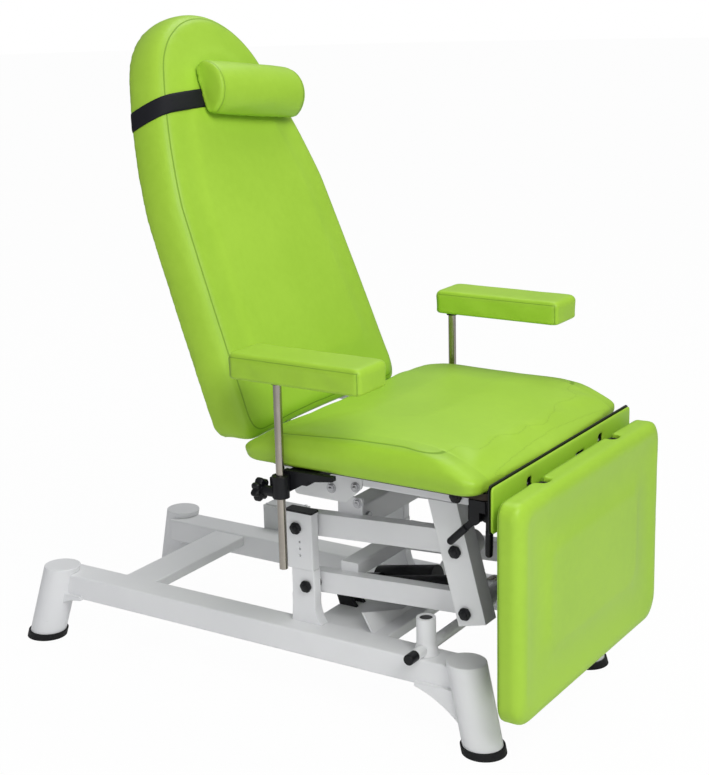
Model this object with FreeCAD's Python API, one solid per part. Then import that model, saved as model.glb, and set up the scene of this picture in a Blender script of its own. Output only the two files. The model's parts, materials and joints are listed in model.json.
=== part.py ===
import FreeCAD
import Part
import math
import os

# A height-adjustable blood-drawing chair, in millimetres.
# X points forward from the backrest to the leg rest, Y to the sitter's left, Z up from the floor.
# The chair is drawn about the middle of its base, then moved along X to put the origin under
# the middle of the whole chair. Right-hand pieces lie at negative Y.

vector = FreeCAD.Vector
y_axis = vector(0, 1, 0)
z_axis = vector(0, 0, 1)
x_axis = vector(1, 0, 0)

# Clearances
running_gap = 0.06
open_pivot_gap = 0.5
soft_gap = 0.4
plate_gap = 1.0
cut_overrun = 5.0
loft_degree = 2

# Base: splayed posts on rubber feet, joined by two side rails
foot_spacing_x = 1080.0
foot_spacing_y = 448.0
post_lean_x = 45.0
post_lean_y = 16.0
post_top_z = 164.0
post_radius = 37.5
post_edge = 2.0
rubber_sole = 5.0
rubber_wall = 4.0
rubber_height = 14.0
rail_top_z = 151.0
rail_height = 51.0
rail_width = 64.0
rail_outer_y = 222.0
rail_edge = 4.0
rail_wall = 4.0
web_thickness = 44.0
front_web_reach = 62.0
front_web_drop = 60.0
rear_web_reach = 26.0
rear_web_drop = 22.0
web_bow_share = 0.07

# Base: cross members
cross_plate_thickness = 26.0
rear_cross_x = -323.5
rear_cross_width = 81.0
middle_cross_x = 206.0
middle_cross_width = 172.0
sheet_back_from_edge = 30.0
sheet_thickness = 4.0
sheet_side_rise = 40.0
sheet_middle_rise = 8.0
sheet_middle_half_width = 40.0
sheet_lean_share = 0.55
cross_edge = 3.0
cross_tube_x = 400.0
cross_tube_radius = 11.5
cross_tube_wall = 2.5
cross_tube_length = 466.0
tube_cap_length = 25.0
tube_cap_radius = 10.5
tube_cap_edge = 2.5

# Base: round bosses on the front of the rails
boss_y = 190.0
boss_radius = 18.5
boss_height = 73.0
boss_flare = 6.0
boss_flare_height = 24.0
boss_plug_radius = 12.5
boss_plug_thickness = 6.0
boss_plug_sink = 1.5

# Base: uprights that carry the lift links
upright_x = 113.0
upright_head_width = 60.0
upright_head_height = 116.0
upright_top_z = 378.0
upright_tube_width = 53.0
upright_tube_shift = 5.5
upright_outer_y = 184.0
upright_thickness = 24.0
upright_edge = 3.0
upright_foot_height = 58.0
upright_foot_rear = 3.0
upright_foot_front = 14.0
upright_foot_bow_share = 0.3
upright_cap_thickness = 4.0
upright_cap_lip = 1.5
upright_hole_radius = 2.5
upright_hole_pitch = 14.0
upright_hole_drop = 42.0

# Base: control box with mains inlet, on the outer face of the left rail
box_x = -221.0
box_length = 104.0
box_width = 46.0
box_low_z = 118.0
box_height = 90.0
box_edge = 5.0
box_lid_thickness = 3.0
box_lid_inset = 6.0
inlet_width = 30.0
inlet_height = 24.0
inlet_depth = 14.0
inlet_wall = 3.0
inlet_pin_width = 3.0
inlet_pin_pitch = 7.0

# Lift: parallel links on each side
rear_pivot_x = 107.0
rear_pivot_z = 346.0
pivot_pitch_x = 20.0
pivot_pitch_z = 117.0
link_reach = 360.0
link_rise = 21.5
link_inner_y = 127.0
link_thickness = 25.0
upper_link_height = 46.0
lower_link_height = 43.0
pivot_bolt_radius = 8.0
bolt_cap_radius = 11.0
bolt_cap_height = 6.0
bolt_cap_edge = 1.5
pivot_nut_radius = 13.0
pivot_nut_height = 8.0
collar_radius = 14.0
upper_tube_ahead = 88.0
upper_tube_rise = 19.0
upper_tube_width = 46.0
upper_tube_height = 50.0
lower_tube_ahead = 68.0
lower_tube_rise = 31.0
lower_tube_width = 40.0
lower_tube_height = 30.0
link_tube_wall = 3.0
link_tube_edge = 4.0
ear_thickness = 6.0
ear_ahead = 10.0
ear_rise = 20.0
ear_bolt_inset = 11.0
stop_bolt_y = 100.0
stop_bolt_radius = 8.0
stop_bolt_height = 6.0

# Lift actuator
actuator_y = -45.0
actuator_base_x = 120.0
actuator_base_z = 182.0
actuator_tip_back = 27.0
actuator_tip_drop = 0.5
actuator_pin_radius = 6.0
actuator_eye_radius = 14.0
actuator_eye_width = 18.0
actuator_neck_radius = 7.5
actuator_tube_radius = 18.0
actuator_tube_start = 40.0
actuator_tube_length = 222.0
actuator_retract = 9.0
actuator_bore_gap = 0.4
actuator_rod_radius = 10.0
actuator_rod_length = 166.0
actuator_tip_play = 3.2
actuator_tip_wall = 5.0
motor_radius = 24.0
motor_start = 62.0
motor_length = 138.0
motor_side = 46.0
gearbox_length = 34.0
lug_thickness = 8.0
clevis_margin = 13.0
clevis_foot_length = 43.0

# Seat carrier: struts and frame
frame_bottom_z = 460.0
frame_height = 40.0
frame_rear_x = 84.0
frame_front_ahead = 119.0
frame_inner_y = 156.0
frame_rail_width = 40.0
frame_wall = 3.0
frame_edge = 3.0
rear_beam_x = 238.0
front_beam_back = 51.0
beam_width = 30.0
strut_top_back = 26.5
strut_foot_ahead = 8.6
strut_foot_reach = 21.5
strut_width = 58.0
strut_bolt_ahead = 3.0
spacer_tube_radius = 17.0
board_thickness = 12.0
board_half_width = 262.0
board_rear_x = 96.0
board_front_back = 6.0
board_corner = 30.0

# Seat carrier: white bracket plates behind the struts
side_plate_x = 118.0
side_plate_length = 153.0
side_plate_drop = 36.0
side_plate_rise = 24.0
side_plate_slope_length = 36.0
side_plate_slope_height = 34.0
side_plate_thickness = 4.0
side_plate_corner = 9.0
side_bolt_radius = 6.0
side_bolt_height = 4.0
# Bolts in the side plate: how far ahead of its rear edge, and how far below the frame
side_bolt_places = ((85.0, 12.0), (139.0, 2.0))

# Seat cushion
seat_half_width = 299.0
seat_rear_x = 64.0
seat_front_back = 4.8
seat_height = 81.0
seat_corner = 34.0
seat_front_bow = 12.0
# Levels of the seat: shares of its height, then the rear and front edges as shares of its
# length measured inwards, then how far the sides draw in as a share of the half width.
seat_level_shares = (
    (0.0, 0.022, 0.020, 0.018),
    (0.08, 0.004, 0.005, -0.006),
    (0.34, 0.0, 0.0, -0.030),
    (0.50, 0.040, 0.042, -0.024),
    (0.66, 0.084, 0.092, -0.004),
    (0.79, 0.165, 0.165, 0.022),
    (0.90, 0.260, 0.270, 0.16),
    (1.0, 0.375, 0.390, 0.47),
)

# Front flap
flap_height = 90.0
flap_drop = 50.0
flap_half_width = 294.0
flap_thickness = 8.0
flap_corner = 10.0
flap_trim_width = 2.0
flap_trim_thickness = 2.4
flap_notch_half_width = 9.0
flap_notch_height = 66.0
flap_spring_notch = 20.0
flap_spring_notch_height = 56.0

# Backrest hinge and arms
back_hinge_x = 48.0
back_hinge_rise = 20.0
hinge_pin_radius = 6.0
hinge_eye_radius = 13.0
hinge_plate_thickness = 10.0
hinge_plate_length = 56.0
hinge_plate_edge_drop = 10.0
hinge_head_radius = 9.0
hinge_head_height = 4.0

# Backrest, drawn in its own frame: depth forward of its front plane, Y, and length along it
back_recline_deg = 21.4
back_origin_x = 75.0
back_origin_rise = 60.0
back_thickness = 88.0
back_bulge = 9.0
back_foot_half_width = 268.0
back_low_half_width = 260.0
back_low_length = 240.0
back_waist_half_width = 249.0
back_waist_length = 440.0
back_neck_half_width = 206.0
back_neck_length = 605.0
back_head_half_width = 157.0
back_head_length = 722.0
back_length = 814.0
back_foot_corner = 30.0
back_head_inset_share = 0.7
back_neck_rise_share = 0.4
back_neck_inset_share = 0.9
# Levels of the backrest: shares of its thickness behind the front plane, how far the outline
# draws in, and how far its foot rises, both as shares of the thickness.
back_level_shares = (
    (1.0, -0.03, 0.06),
    (0.94, -0.09, 0.01),
    (0.55, -0.107, -0.02),
    (0.19, 0.0, -0.09),
    (0.09, 0.08, -0.07),
    (0.03, 0.36, -0.06),
    (0.0, 1.0, 0.0),
)
back_board_thickness = 14.0
back_board_inset = 42.0
back_board_foot = 36.0
back_lug_top = 108.0
back_lug_bridge = 72.0
back_arm_thickness = 11.0
back_arm_length = 190.0
back_arm_width = 13.0
back_arm_knee = -3.0

# Head pillow and its strap
pillow_length = 272.0
pillow_radius = 60.0
pillow_y = 56.0
pillow_along = 637.0
pillow_turn_deg = 7.5
pillow_end_draw = 10.0
pillow_end_shoulder = 28.0
pillow_corner = 19.0
pillow_end_step = 4.7
pillow_end_step_draw = 2.0
strap_width = 36.0
strap_along = 638.0
strap_thickness = 2.4
strap_gap = 0.5
strap_bow = 4.4
strap_corner = 34.0
strap_rear_corner_share = 0.12

# Leg rest
leg_hinge_ahead = 27.0
leg_rear_ahead = 19.4
leg_thickness = 51.0
leg_top_z = 517.0
leg_bottom_z = 97.0
leg_half_width = 307.0
leg_top_corner = 28.0
leg_bottom_corner = 42.0
# Levels of the leg rest: shares of its thickness from the rear, and the outline's draw-in as
# a share of the thickness.
leg_level_shares = (
    (0.0, 0.13),
    (0.08, 0.02),
    (0.45, -0.02),
    (0.80, 0.02),
    (0.91, 0.12),
    (0.97, 0.60),
    (1.0, 2.3),
)
leg_recess_half_width = 14.0
leg_recess_depth = 24.5
leg_recess_height = 35.0
leg_lug_thickness = 5.0
leg_lug_backing = 4.0
leg_eye_radius = 10.0
leg_pin_radius = 5.0
leg_board_inset = 40.0
leg_board_thickness = 6.0

# Gas springs
gas_tube_radius = 9.0
gas_bore_gap = 0.4
gas_rod_radius = 4.5
gas_neck_radius = 5.0
gas_pin_radius = 4.0
gas_eye_radius = 9.0
gas_eye_width = 12.0
gas_lug_thickness = 5.0
gas_lug_radius = 9.0
back_gas_y = -60.0
back_gas_base_x = 206.0
back_gas_drop = 12.0
back_gas_tip_x = 18.0
back_gas_tip_drop = 10.0
back_gas_tube_length = 118.0
back_gas_rod_length = 100.0
back_gas_retract = 47.0
back_gas_play = 4.6
leg_gas_y = 60.0
leg_gas_base_back = 140.0
leg_gas_drop = 12.0
leg_gas_tip_back = 8.0
leg_gas_tip_drop = 56.0
leg_gas_tube_length = 110.0
leg_gas_rod_length = 122.0
leg_gas_retract = 1.0
leg_gas_play = 9.3
gas_tip_wall = 3.5

# Arm rests
arm_post_x = 173.0
arm_post_y = 321.0
arm_post_radius = 8.0
arm_post_bottom_z = 322.0
arm_post_top_z = 683.6
arm_socket_radius = 11.5
arm_socket_depth = 8.0
arm_plate_length = 150.0
arm_plate_width = 56.0
arm_plate_thickness = 3.0
arm_plate_rear_reach = 19.6
arm_pad_length = 282.0
arm_pad_width = 96.0
arm_pad_height = 48.0
arm_pad_corner = 13.0
right_pad_ahead = 65.0
left_pad_ahead = 126.0
# Levels of the arm pad: shares of its height, and its draw-in as a share of that height.
pad_level_shares = (
    (0.0, 0.05),
    (0.08, 0.0),
    (0.50, -0.02),
    (0.88, 0.0),
    (0.96, 0.06),
    (1.0, 0.16),
)

# Arm clamps, their side plate drawn as a low bracket, and star knobs
clamp_outer_y = 308.0
clamp_plate_thickness = 12.0
clamp_rear_x = 139.0
clamp_length = 139.0
clamp_height = 58.0
# Corners of the clamp's side plate, as shares of its length and height from the top rear.
clamp_shares = (
    (0.22, 0.02),
    (1.0, 0.0),
    (1.0, 0.15),
    (0.62, 0.29),
    (0.33, 0.70),
    (0.0, 1.0),
    (0.0, 0.36),
)
clamp_beam_x = 160.0
clamp_beam_length = 62.0
clamp_beam_height = 14.0
clamp_hub_radius = 16.0
clamp_hub_height = 42.0
clamp_hub_drop = 9.0
clamp_neck_radius = 10.0
clamp_neck_length = 17.0
knob_drop = 43.0
knob_radius = 22.0
knob_lobes = 7
knob_lobe_radius = 6.0
knob_thickness = 16.0
knob_collar_radius = 9.0
knob_collar_length = 6.0
knob_stud_radius = 3.0
knob_stop_gap = 0.4

# Release levers in their hanger
hanger_drop = 8.0
hanger_roof = 22.0
hanger_cheek = 6.0
hanger_slot = 16.0
hanger_radius = 11.0
hanger_edge = 3.0
lever_pivot_drop = 36.0
lever_thickness = 12.0
lever_eye_radius = 10.0
lever_pin_radius = 3.0
back_lever_back = 54.0
leg_lever_back = 41.0
back_lever_reach = 54.0
back_lever_drop = 54.0
leg_lever_reach = 1.5
leg_lever_drop = 74.0
lever_arm_half_width = 6.0
lever_arm_inset = 3.0
lever_grip_radius = 7.0
lever_grip_share = 0.42

# Values that follow from the sizes above
frame_top_z = frame_bottom_z + frame_height
board_top_z = frame_top_z + board_thickness
frame_outer_y = frame_inner_y + frame_rail_width
rail_inner_y = rail_outer_y - rail_width
rail_bottom_z = rail_top_z - rail_height
box_y = rail_outer_y + box_width / 2
upright_inner_y = upright_outer_y - upright_thickness
link_outer_y = link_inner_y + link_thickness
lower_pivot_x = rear_pivot_x + pivot_pitch_x
lower_pivot_z = rear_pivot_z - pivot_pitch_z
front_pivot_x = rear_pivot_x + link_reach
front_pivot_z = rear_pivot_z + link_rise
front_lower_x = lower_pivot_x + link_reach
front_lower_z = lower_pivot_z + link_rise
actuator_tip_x = front_lower_x - actuator_tip_back
actuator_tip_z = front_lower_z - actuator_tip_drop
strut_top_x = front_pivot_x - strut_top_back
strut_foot_x = front_lower_x + strut_foot_ahead
strut_bolt_x = front_pivot_x + strut_bolt_ahead
front_beam_x = front_pivot_x - front_beam_back
frame_front_x = front_pivot_x + frame_front_ahead
board_front_x = frame_front_x - board_front_back
seat_front_x = frame_front_x - seat_front_back
leg_hinge_x = frame_front_x + leg_hinge_ahead
leg_rear_x = frame_front_x + leg_rear_ahead
leg_gas_base_x = frame_front_x - leg_gas_base_back
leg_gas_tip_x = frame_front_x - leg_gas_tip_back
back_lever_x = frame_front_x - back_lever_back
leg_lever_x = frame_front_x - leg_lever_back
lever_pivot_z = frame_top_z - hanger_drop - lever_pivot_drop
back_hinge_z = frame_top_z + back_hinge_rise
leg_hinge_z = frame_top_z
hinge_plate_inner_y = frame_inner_y - hinge_plate_thickness
back_arm_outer_y = hinge_plate_inner_y - plate_gap
back_arm_inner_y = back_arm_outer_y - back_arm_thickness
knob_z = board_top_z - knob_drop
leg_bar_y = frame_inner_y - hinge_plate_thickness / 2
boss_top_z = rail_top_z + boss_height


# Small makers used by every piece

def box(x0, x1, y0, y1, z0, z1):
    return Part.makeBox(x1 - x0, y1 - y0, z1 - z0, vector(x0, y0, z0))


def rod(radius, start, end):
    return Part.makeCylinder(radius, (end - start).Length, start, end - start)


def across(radius, x, z, y0, y1):
    return Part.makeCylinder(radius, y1 - y0, vector(x, y0, z), y_axis)


def standing(radius, x, y, z0, z1):
    return Part.makeCylinder(radius, z1 - z0, vector(x, y, z0), z_axis)


def prism(points, y0, y1):
    corners = [vector(x, y0, z) for x, z in points]
    face = Part.Face(Part.makePolygon(corners + corners[:1]))
    return face.extrude(vector(0, y1 - y0, 0))


def joined(shapes):
    return shapes[0].fuse(shapes[1:]).removeSplitter()


def bar(x0, z0, x1, z1, radius, y0, y1):
    # Flat bar with round ends, lying in the XZ plane
    length = math.hypot(x1 - x0, z1 - z0)
    side_x = -(z1 - z0) / length * radius
    side_z = (x1 - x0) / length * radius
    corners = [(x0 + side_x, z0 + side_z), (x1 + side_x, z1 + side_z),
               (x1 - side_x, z1 - side_z), (x0 - side_x, z0 - side_z)]
    return joined([prism(corners, y0, y1), across(radius, x0, z0, y0, y1),
                   across(radius, x1, z1, y0, y1)])


def rounded(shape, radius, direction):
    # Rounds every straight edge that runs along the direction
    edges = []
    for edge in shape.Edges:
        if edge.Curve.TypeId == "Part::GeomLine":
            along = edge.tangentAt(edge.FirstParameter)
            if abs(along.dot(direction)) > 0.999:
                edges.append(edge)
    return shape.makeFillet(radius, edges)


def mirrored(shape):
    return shape.mirror(vector(0, 0, 0), y_axis)


def arc(start, middle, end):
    return Part.Arc(start, middle, end).toShape()


def straight(start, end):
    return Part.LineSegment(start, end).toShape()


def corner_middle(centre, radius, sign_u, sign_v):
    # Point half way round a corner arc, in two coordinates
    reach = radius * math.sqrt(0.5)
    return centre[0] + sign_u * reach, centre[1] + sign_v * reach


def soft_outline(point, low, high, half, low_corner, high_corner, bow):
    # Closed outline of a cushion: point(u, v) gives space coordinates, u runs from low to high,
    # v from -half to half. Its low end is straight and its high end bows out.
    low_u = low + low_corner
    high_u = high - high_corner
    low_v = half - low_corner
    high_v = half - high_corner
    edges = [straight(point(low, -low_v), point(low, low_v))]
    edges.append(arc(point(low, low_v), point(*corner_middle((low_u, low_v), low_corner, -1, 1)),
                     point(low_u, half)))
    edges.append(straight(point(low_u, half), point(high_u, half)))
    edges.append(arc(point(high_u, half), point(*corner_middle((high_u, high_v), high_corner, 1, 1)),
                     point(high, high_v)))
    edges.append(arc(point(high, high_v), point(high + bow, 0), point(high, -high_v)))
    edges.append(arc(point(high, -high_v), point(*corner_middle((high_u, -high_v), high_corner, 1, -1)),
                     point(high_u, -half)))
    edges.append(straight(point(high_u, -half), point(low_u, -half)))
    edges.append(arc(point(low_u, -half), point(*corner_middle((low_u, -low_v), low_corner, -1, -1)),
                     point(low, -low_v)))
    return Part.Wire(edges)


def lofted(wires):
    return Part.makeLoft(wires, True, False, False, loft_degree)


parts = {}


def keep(name, *shapes):
    solids = []
    for shape in shapes:
        solids.extend(shape.Solids)
    parts[name] = solids


# Base

def leaning_rod(sign_x, radius, low, high):
    # Round bar along the line of a leg, cut level at both ends
    foot = vector(sign_x * foot_spacing_x / 2, -foot_spacing_y / 2, 0)
    lean = vector(-sign_x * post_lean_x, post_lean_y, post_top_z)
    along = lean / lean.Length
    spare = along * (radius / 2)
    start = foot + lean * (low / post_top_z) - spare
    end = foot + lean * (high / post_top_z) + spare
    bar_solid = rod(radius, start, end)
    reach = radius * 2
    middle = (start + end) * 0.5
    slab = box(middle.x - reach, middle.x + reach, middle.y - reach, middle.y + reach, low, high)
    return bar_solid.common(slab)


def leg_post(sign_x):
    post = leaning_rod(sign_x, post_radius, rubber_sole, post_top_z)
    top_edges = [edge for edge in post.Edges if edge.BoundBox.ZMin > post_top_z - post_edge]
    return post.makeFillet(post_edge, top_edges)


def web(sign_x, reach, drop):
    # Curved gusset between a post and the underside of its rail
    post_x = foot_spacing_x / 2 - post_lean_x
    start_x = post_x - post_radius - reach
    centre_y = foot_spacing_y / 2 - post_lean_y
    y0 = -centre_y - web_thickness / 2
    bow = web_bow_share
    middle_x = (start_x + post_x) / 2 + drop * bow
    middle_z = rail_bottom_z - drop / 2 + (post_x - start_x) * bow
    low = vector(sign_x * start_x, y0, rail_bottom_z)
    middle = vector(sign_x * middle_x, y0, middle_z)
    post_low = vector(sign_x * post_x, y0, rail_bottom_z - drop)
    post_high = vector(sign_x * post_x, y0, rail_bottom_z + rail_edge * 2)
    high = vector(sign_x * start_x, y0, rail_bottom_z + rail_edge * 2)
    edges = [arc(low, middle, post_low), straight(post_low, post_high)]
    edges.append(straight(post_high, high))
    edges.append(straight(high, low))
    return Part.Face(Part.Wire(edges)).extrude(vector(0, web_thickness, 0))


def base_side():
    end_x = foot_spacing_x / 2 - post_lean_x
    rail = box(-end_x, end_x, -rail_outer_y, -rail_inner_y, rail_bottom_z, rail_top_z)
    rail = rounded(rail, rail_edge, x_axis)
    pieces = [rail, leg_post(1), leg_post(-1)]
    pieces.append(web(1, front_web_reach, front_web_drop))
    pieces.append(web(-1, rear_web_reach, rear_web_drop))
    # The rail and both posts are hollow, open only below the posts, where the rubber feet close them
    room = [box(-end_x, end_x, -rail_outer_y + rail_wall, -rail_inner_y - rail_wall,
                rail_bottom_z + rail_wall, rail_top_z - rail_wall)]
    for sign_x in (1, -1):
        room.append(leaning_rod(sign_x, post_radius - rail_wall, 0, post_top_z - rail_wall))
    return joined(pieces).cut(joined(room))


def rubber_foot(sign_x):
    ring = leaning_rod(sign_x, post_radius + rubber_wall, 0, rubber_height)
    return ring.cut(leaning_rod(sign_x, post_radius, rubber_sole, rubber_height + cut_overrun))


def base():
    side = base_side()
    boss = front_boss()
    keep("base_side_right", side)
    keep("base_side_left", mirrored(side))
    feet = [rubber_foot(1), rubber_foot(-1)]
    keep("foot_rubbers", *feet, *[mirrored(foot) for foot in feet])
    low = rail_top_z - cross_plate_thickness
    for name, x, width in (("rear_cross_member", rear_cross_x, rear_cross_width),
                           ("middle_cross_plate", middle_cross_x, middle_cross_width)):
        plate = box(x - width / 2, x + width / 2, -rail_inner_y, rail_inner_y, low,
                    rail_top_z - rail_edge)
        plate = rounded(plate, cross_edge, y_axis)
        if x == middle_cross_x:
            plate = joined([plate, cross_sheet()])
        keep(name, plate)
    tube_z = rail_top_z + cross_tube_radius
    half = cross_tube_length / 2
    tube = across(cross_tube_radius, cross_tube_x, tube_z, -half, half)
    bore = across(cross_tube_radius - cross_tube_wall, cross_tube_x, tube_z, -half, half)
    keep("front_cross_tube", tube.cut(bore))
    cap = across(tube_cap_radius, cross_tube_x, tube_z, -half - tube_cap_length, -half)
    end = [edge for edge in cap.Edges
           if edge.BoundBox.YMax < -half - tube_cap_length / 2 and edge.BoundBox.XLength > 0
           and edge.BoundBox.YLength < tube_cap_edge]
    cap = cap.makeFillet(tube_cap_edge, end)
    keep("front_bosses", boss, mirrored(boss))
    plug = standing(boss_plug_radius, cross_tube_x, -boss_y,
                    boss_top_z - boss_plug_sink - boss_plug_thickness,
                    boss_top_z - boss_plug_sink)
    top_cap = upright_cap()
    caps = [cap, plug, top_cap]
    keep("base_end_caps", *caps, *[mirrored(piece) for piece in caps])


def cross_sheet():
    # Sheet that leans back from the front edge of the middle cross plate, low in the middle
    top = rail_top_z - rail_edge
    front = middle_cross_x + middle_cross_width / 2 - sheet_back_from_edge
    sink = cross_edge / 2
    places = [(-rail_inner_y, -sink), (rail_inner_y, -sink), (rail_inner_y, sheet_side_rise),
              (sheet_middle_half_width, sheet_middle_rise), (-sheet_middle_half_width, sheet_middle_rise),
              (-rail_inner_y, sheet_side_rise)]
    corners = [vector(front - rise * sheet_lean_share, y, top + rise) for y, rise in places]
    face = Part.Face(Part.makePolygon(corners + corners[:1]))
    return face.extrude(vector(-sheet_thickness, 0, 0))


def front_boss():
    body = standing(boss_radius, cross_tube_x, -boss_y, rail_top_z, boss_top_z)
    flare = Part.makeCone(boss_radius + boss_flare, boss_radius, boss_flare_height,
                          vector(cross_tube_x, -boss_y, rail_top_z), z_axis)
    body = body.fuse(flare).removeSplitter()
    pocket = standing(boss_plug_radius, cross_tube_x, -boss_y,
                      boss_top_z - boss_plug_sink - boss_plug_thickness, boss_top_z + cut_overrun)
    tube_end_y = -boss_y + boss_radius + boss_flare + cut_overrun
    tube = across(cross_tube_radius, cross_tube_x, rail_top_z + cross_tube_radius,
                  -cross_tube_length / 2, tube_end_y)
    # The tube only touches the rail in a line, so the foot of the boss is cut open below it
    groove = box(cross_tube_x - cross_tube_radius / 2, cross_tube_x + cross_tube_radius / 2,
                 -cross_tube_length / 2, tube_end_y, rail_top_z - cut_overrun, rail_top_z + cross_tube_radius)
    return body.cut([pocket, tube.fuse(groove)])


def upright():
    head_low = upright_top_z - upright_head_height
    left = upright_x - upright_head_width / 2
    right = upright_x + upright_head_width / 2
    head = box(left, right, -upright_outer_y, -upright_inner_y, head_low, upright_top_z)
    tube_x = upright_x + upright_tube_shift
    tube = box(tube_x - upright_tube_width / 2, tube_x + upright_tube_width / 2,
               -upright_outer_y + plate_gap,
               -upright_inner_y, rail_top_z, head_low)
    foot = upright_foot(tube_x - upright_tube_width / 2, tube_x + upright_tube_width / 2)
    body = joined([rounded(head, upright_edge, z_axis), rounded(tube, upright_edge, z_axis), foot])
    cuts = []
    for index in (-1, 0, 1):
        z = rear_pivot_z - upright_hole_drop + index * upright_hole_pitch
        cuts.append(across(upright_hole_radius, rear_pivot_x + upright_hole_pitch / 2, z,
                           -upright_outer_y - cut_overrun, -upright_outer_y + upright_edge * 2))
    return body.cut(cuts)


def upright_foot(rear, front):
    # Gussets that widen the tube towards the rail, curved in the XZ plane
    y0 = -upright_outer_y + plate_gap
    top = rail_top_z + upright_foot_height
    middle = rail_top_z + upright_foot_height * upright_foot_bow_share
    rear_low = rear - upright_foot_rear
    front_low = front + upright_foot_front
    edges = [straight(vector(rear_low, y0, rail_top_z), vector(front_low, y0, rail_top_z))]
    edges.append(arc(vector(front_low, y0, rail_top_z),
                     vector(front + upright_foot_front * upright_foot_bow_share, y0, middle),
                     vector(front, y0, top)))
    edges.append(straight(vector(front, y0, top), vector(rear, y0, top)))
    edges.append(arc(vector(rear, y0, top),
                     vector(rear - upright_foot_rear * upright_foot_bow_share, y0, middle),
                     vector(rear_low, y0, rail_top_z)))
    face = Part.Face(Part.Wire(edges))
    return face.extrude(vector(0, -upright_inner_y - y0, 0))


def upright_cap():
    half = upright_head_width / 2 + upright_cap_lip
    cap = box(upright_x - half, upright_x + half, -upright_outer_y - upright_cap_lip,
              -upright_inner_y + upright_cap_lip, upright_top_z, upright_top_z + upright_cap_thickness)
    return rounded(cap, upright_edge, z_axis)


def capped_bolt(x, z, outer_y, inner_y):
    # Bolt along Y from the outside of the right-hand side, with a round cap
    shank = across(pivot_bolt_radius, x, z, -outer_y, -inner_y)
    cap = across(bolt_cap_radius, x, z, -outer_y - bolt_cap_height, -outer_y)
    rim = [edge for edge in cap.Edges if edge.BoundBox.YMax < -outer_y - bolt_cap_height / 2]
    return [shank, cap.makeFillet(bolt_cap_edge, rim)]


def pivot_nut(x, z, outer_y, height):
    return across(pivot_nut_radius, x, z, -outer_y, -outer_y + height)


def rear_pivots():
    bolts = []
    for x, z in ((rear_pivot_x, rear_pivot_z), (lower_pivot_x, lower_pivot_z)):
        pieces = capped_bolt(x, z, upright_outer_y, link_inner_y - pivot_nut_height)
        collar = across(collar_radius, x, z, -upright_inner_y, -link_outer_y - plate_gap / 2)
        nut = pivot_nut(x, z, link_inner_y - plate_gap / 2, pivot_nut_height - plate_gap / 2)
        bolts.append(joined(pieces + [collar, nut]))
    keep("rear_pivot_bolts", *bolts, *[mirrored(bolt) for bolt in bolts])


def uprights():
    body = upright()
    holes = []
    for x, z in ((rear_pivot_x, rear_pivot_z), (lower_pivot_x, lower_pivot_z)):
        holes.append(across(pivot_bolt_radius, x, z, -upright_outer_y - cut_overrun,
                            -upright_inner_y + cut_overrun))
    body = body.cut(holes)
    keep("uprights", body, mirrored(body))
    rear_pivots()


def control_box():
    x0 = box_x - box_length / 2
    x1 = box_x + box_length / 2
    y0 = box_y - box_width / 2
    y1 = box_y + box_width / 2
    top = box_low_z + box_height
    lid_low = top - box_lid_thickness
    body = rounded(box(x0, x1, y0, y1, box_low_z, lid_low), box_edge, z_axis)
    inlet_z = box_low_z + box_height / 2
    socket = box(x0, x0 + inlet_depth, box_y - inlet_width / 2, box_y + inlet_width / 2,
                 inlet_z - inlet_height / 2, inlet_z + inlet_height / 2)
    lid = box(x0 + box_lid_inset, x1 - box_lid_inset, y0 + box_lid_inset, y1 - box_lid_inset, lid_low,
              top)
    keep("control_box", body.cut(socket), rounded(lid, box_edge, z_axis))
    recess = box(x0 - cut_overrun, x0 + inlet_depth - inlet_wall,
                 box_y - inlet_width / 2 + inlet_wall, box_y + inlet_width / 2 - inlet_wall,
                 inlet_z - inlet_height / 2 + inlet_wall, inlet_z + inlet_height / 2 - inlet_wall)
    inlet = socket.cut(recess)
    pin_start = x0 + inlet_wall * 2
    pins = []
    for index, rise in ((-1, 0), (0, 1), (1, 0)):
        y = box_y + index * inlet_pin_pitch
        z = inlet_z + rise * inlet_pin_width
        pins.append(box(pin_start, x0 + inlet_depth - inlet_wall, y - inlet_pin_width / 2,
                        y + inlet_pin_width / 2, z - inlet_pin_width, z + inlet_pin_width))
    keep("mains_inlet", joined([inlet] + pins))


# Lift

def link(x, z, height, front_gap):
    body = bar(x, z, x + link_reach, z + link_rise, height / 2, -link_outer_y, -link_inner_y)
    rear = across(pivot_bolt_radius + running_gap, x, z, -link_outer_y - cut_overrun,
                  -link_inner_y + cut_overrun)
    front = across(pivot_bolt_radius + front_gap, x + link_reach, z + link_rise,
                   -link_outer_y - cut_overrun, -link_inner_y + cut_overrun)
    return body.cut([rear, front])


def link_tube(x, z, width, height):
    outer = box(x - width / 2, x + width / 2, -link_inner_y, link_inner_y, z - height / 2, z + height / 2)
    inner = box(x - width / 2 + link_tube_wall, x + width / 2 - link_tube_wall, -link_inner_y,
                link_inner_y,
                z - height / 2 + link_tube_wall, z + height / 2 - link_tube_wall)
    return rounded(outer, link_tube_edge, y_axis).cut(inner)


def link_ear(x, z, width, height, ahead, rise):
    # Plate on the inner face of a link that closes the end of its cross tube
    plate = box(x - width / 2, x + width / 2 + ahead, -link_inner_y - ear_thickness, -link_inner_y,
                z - height / 2, z + height / 2 + rise)
    return rounded(plate, link_tube_edge, y_axis)


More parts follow.
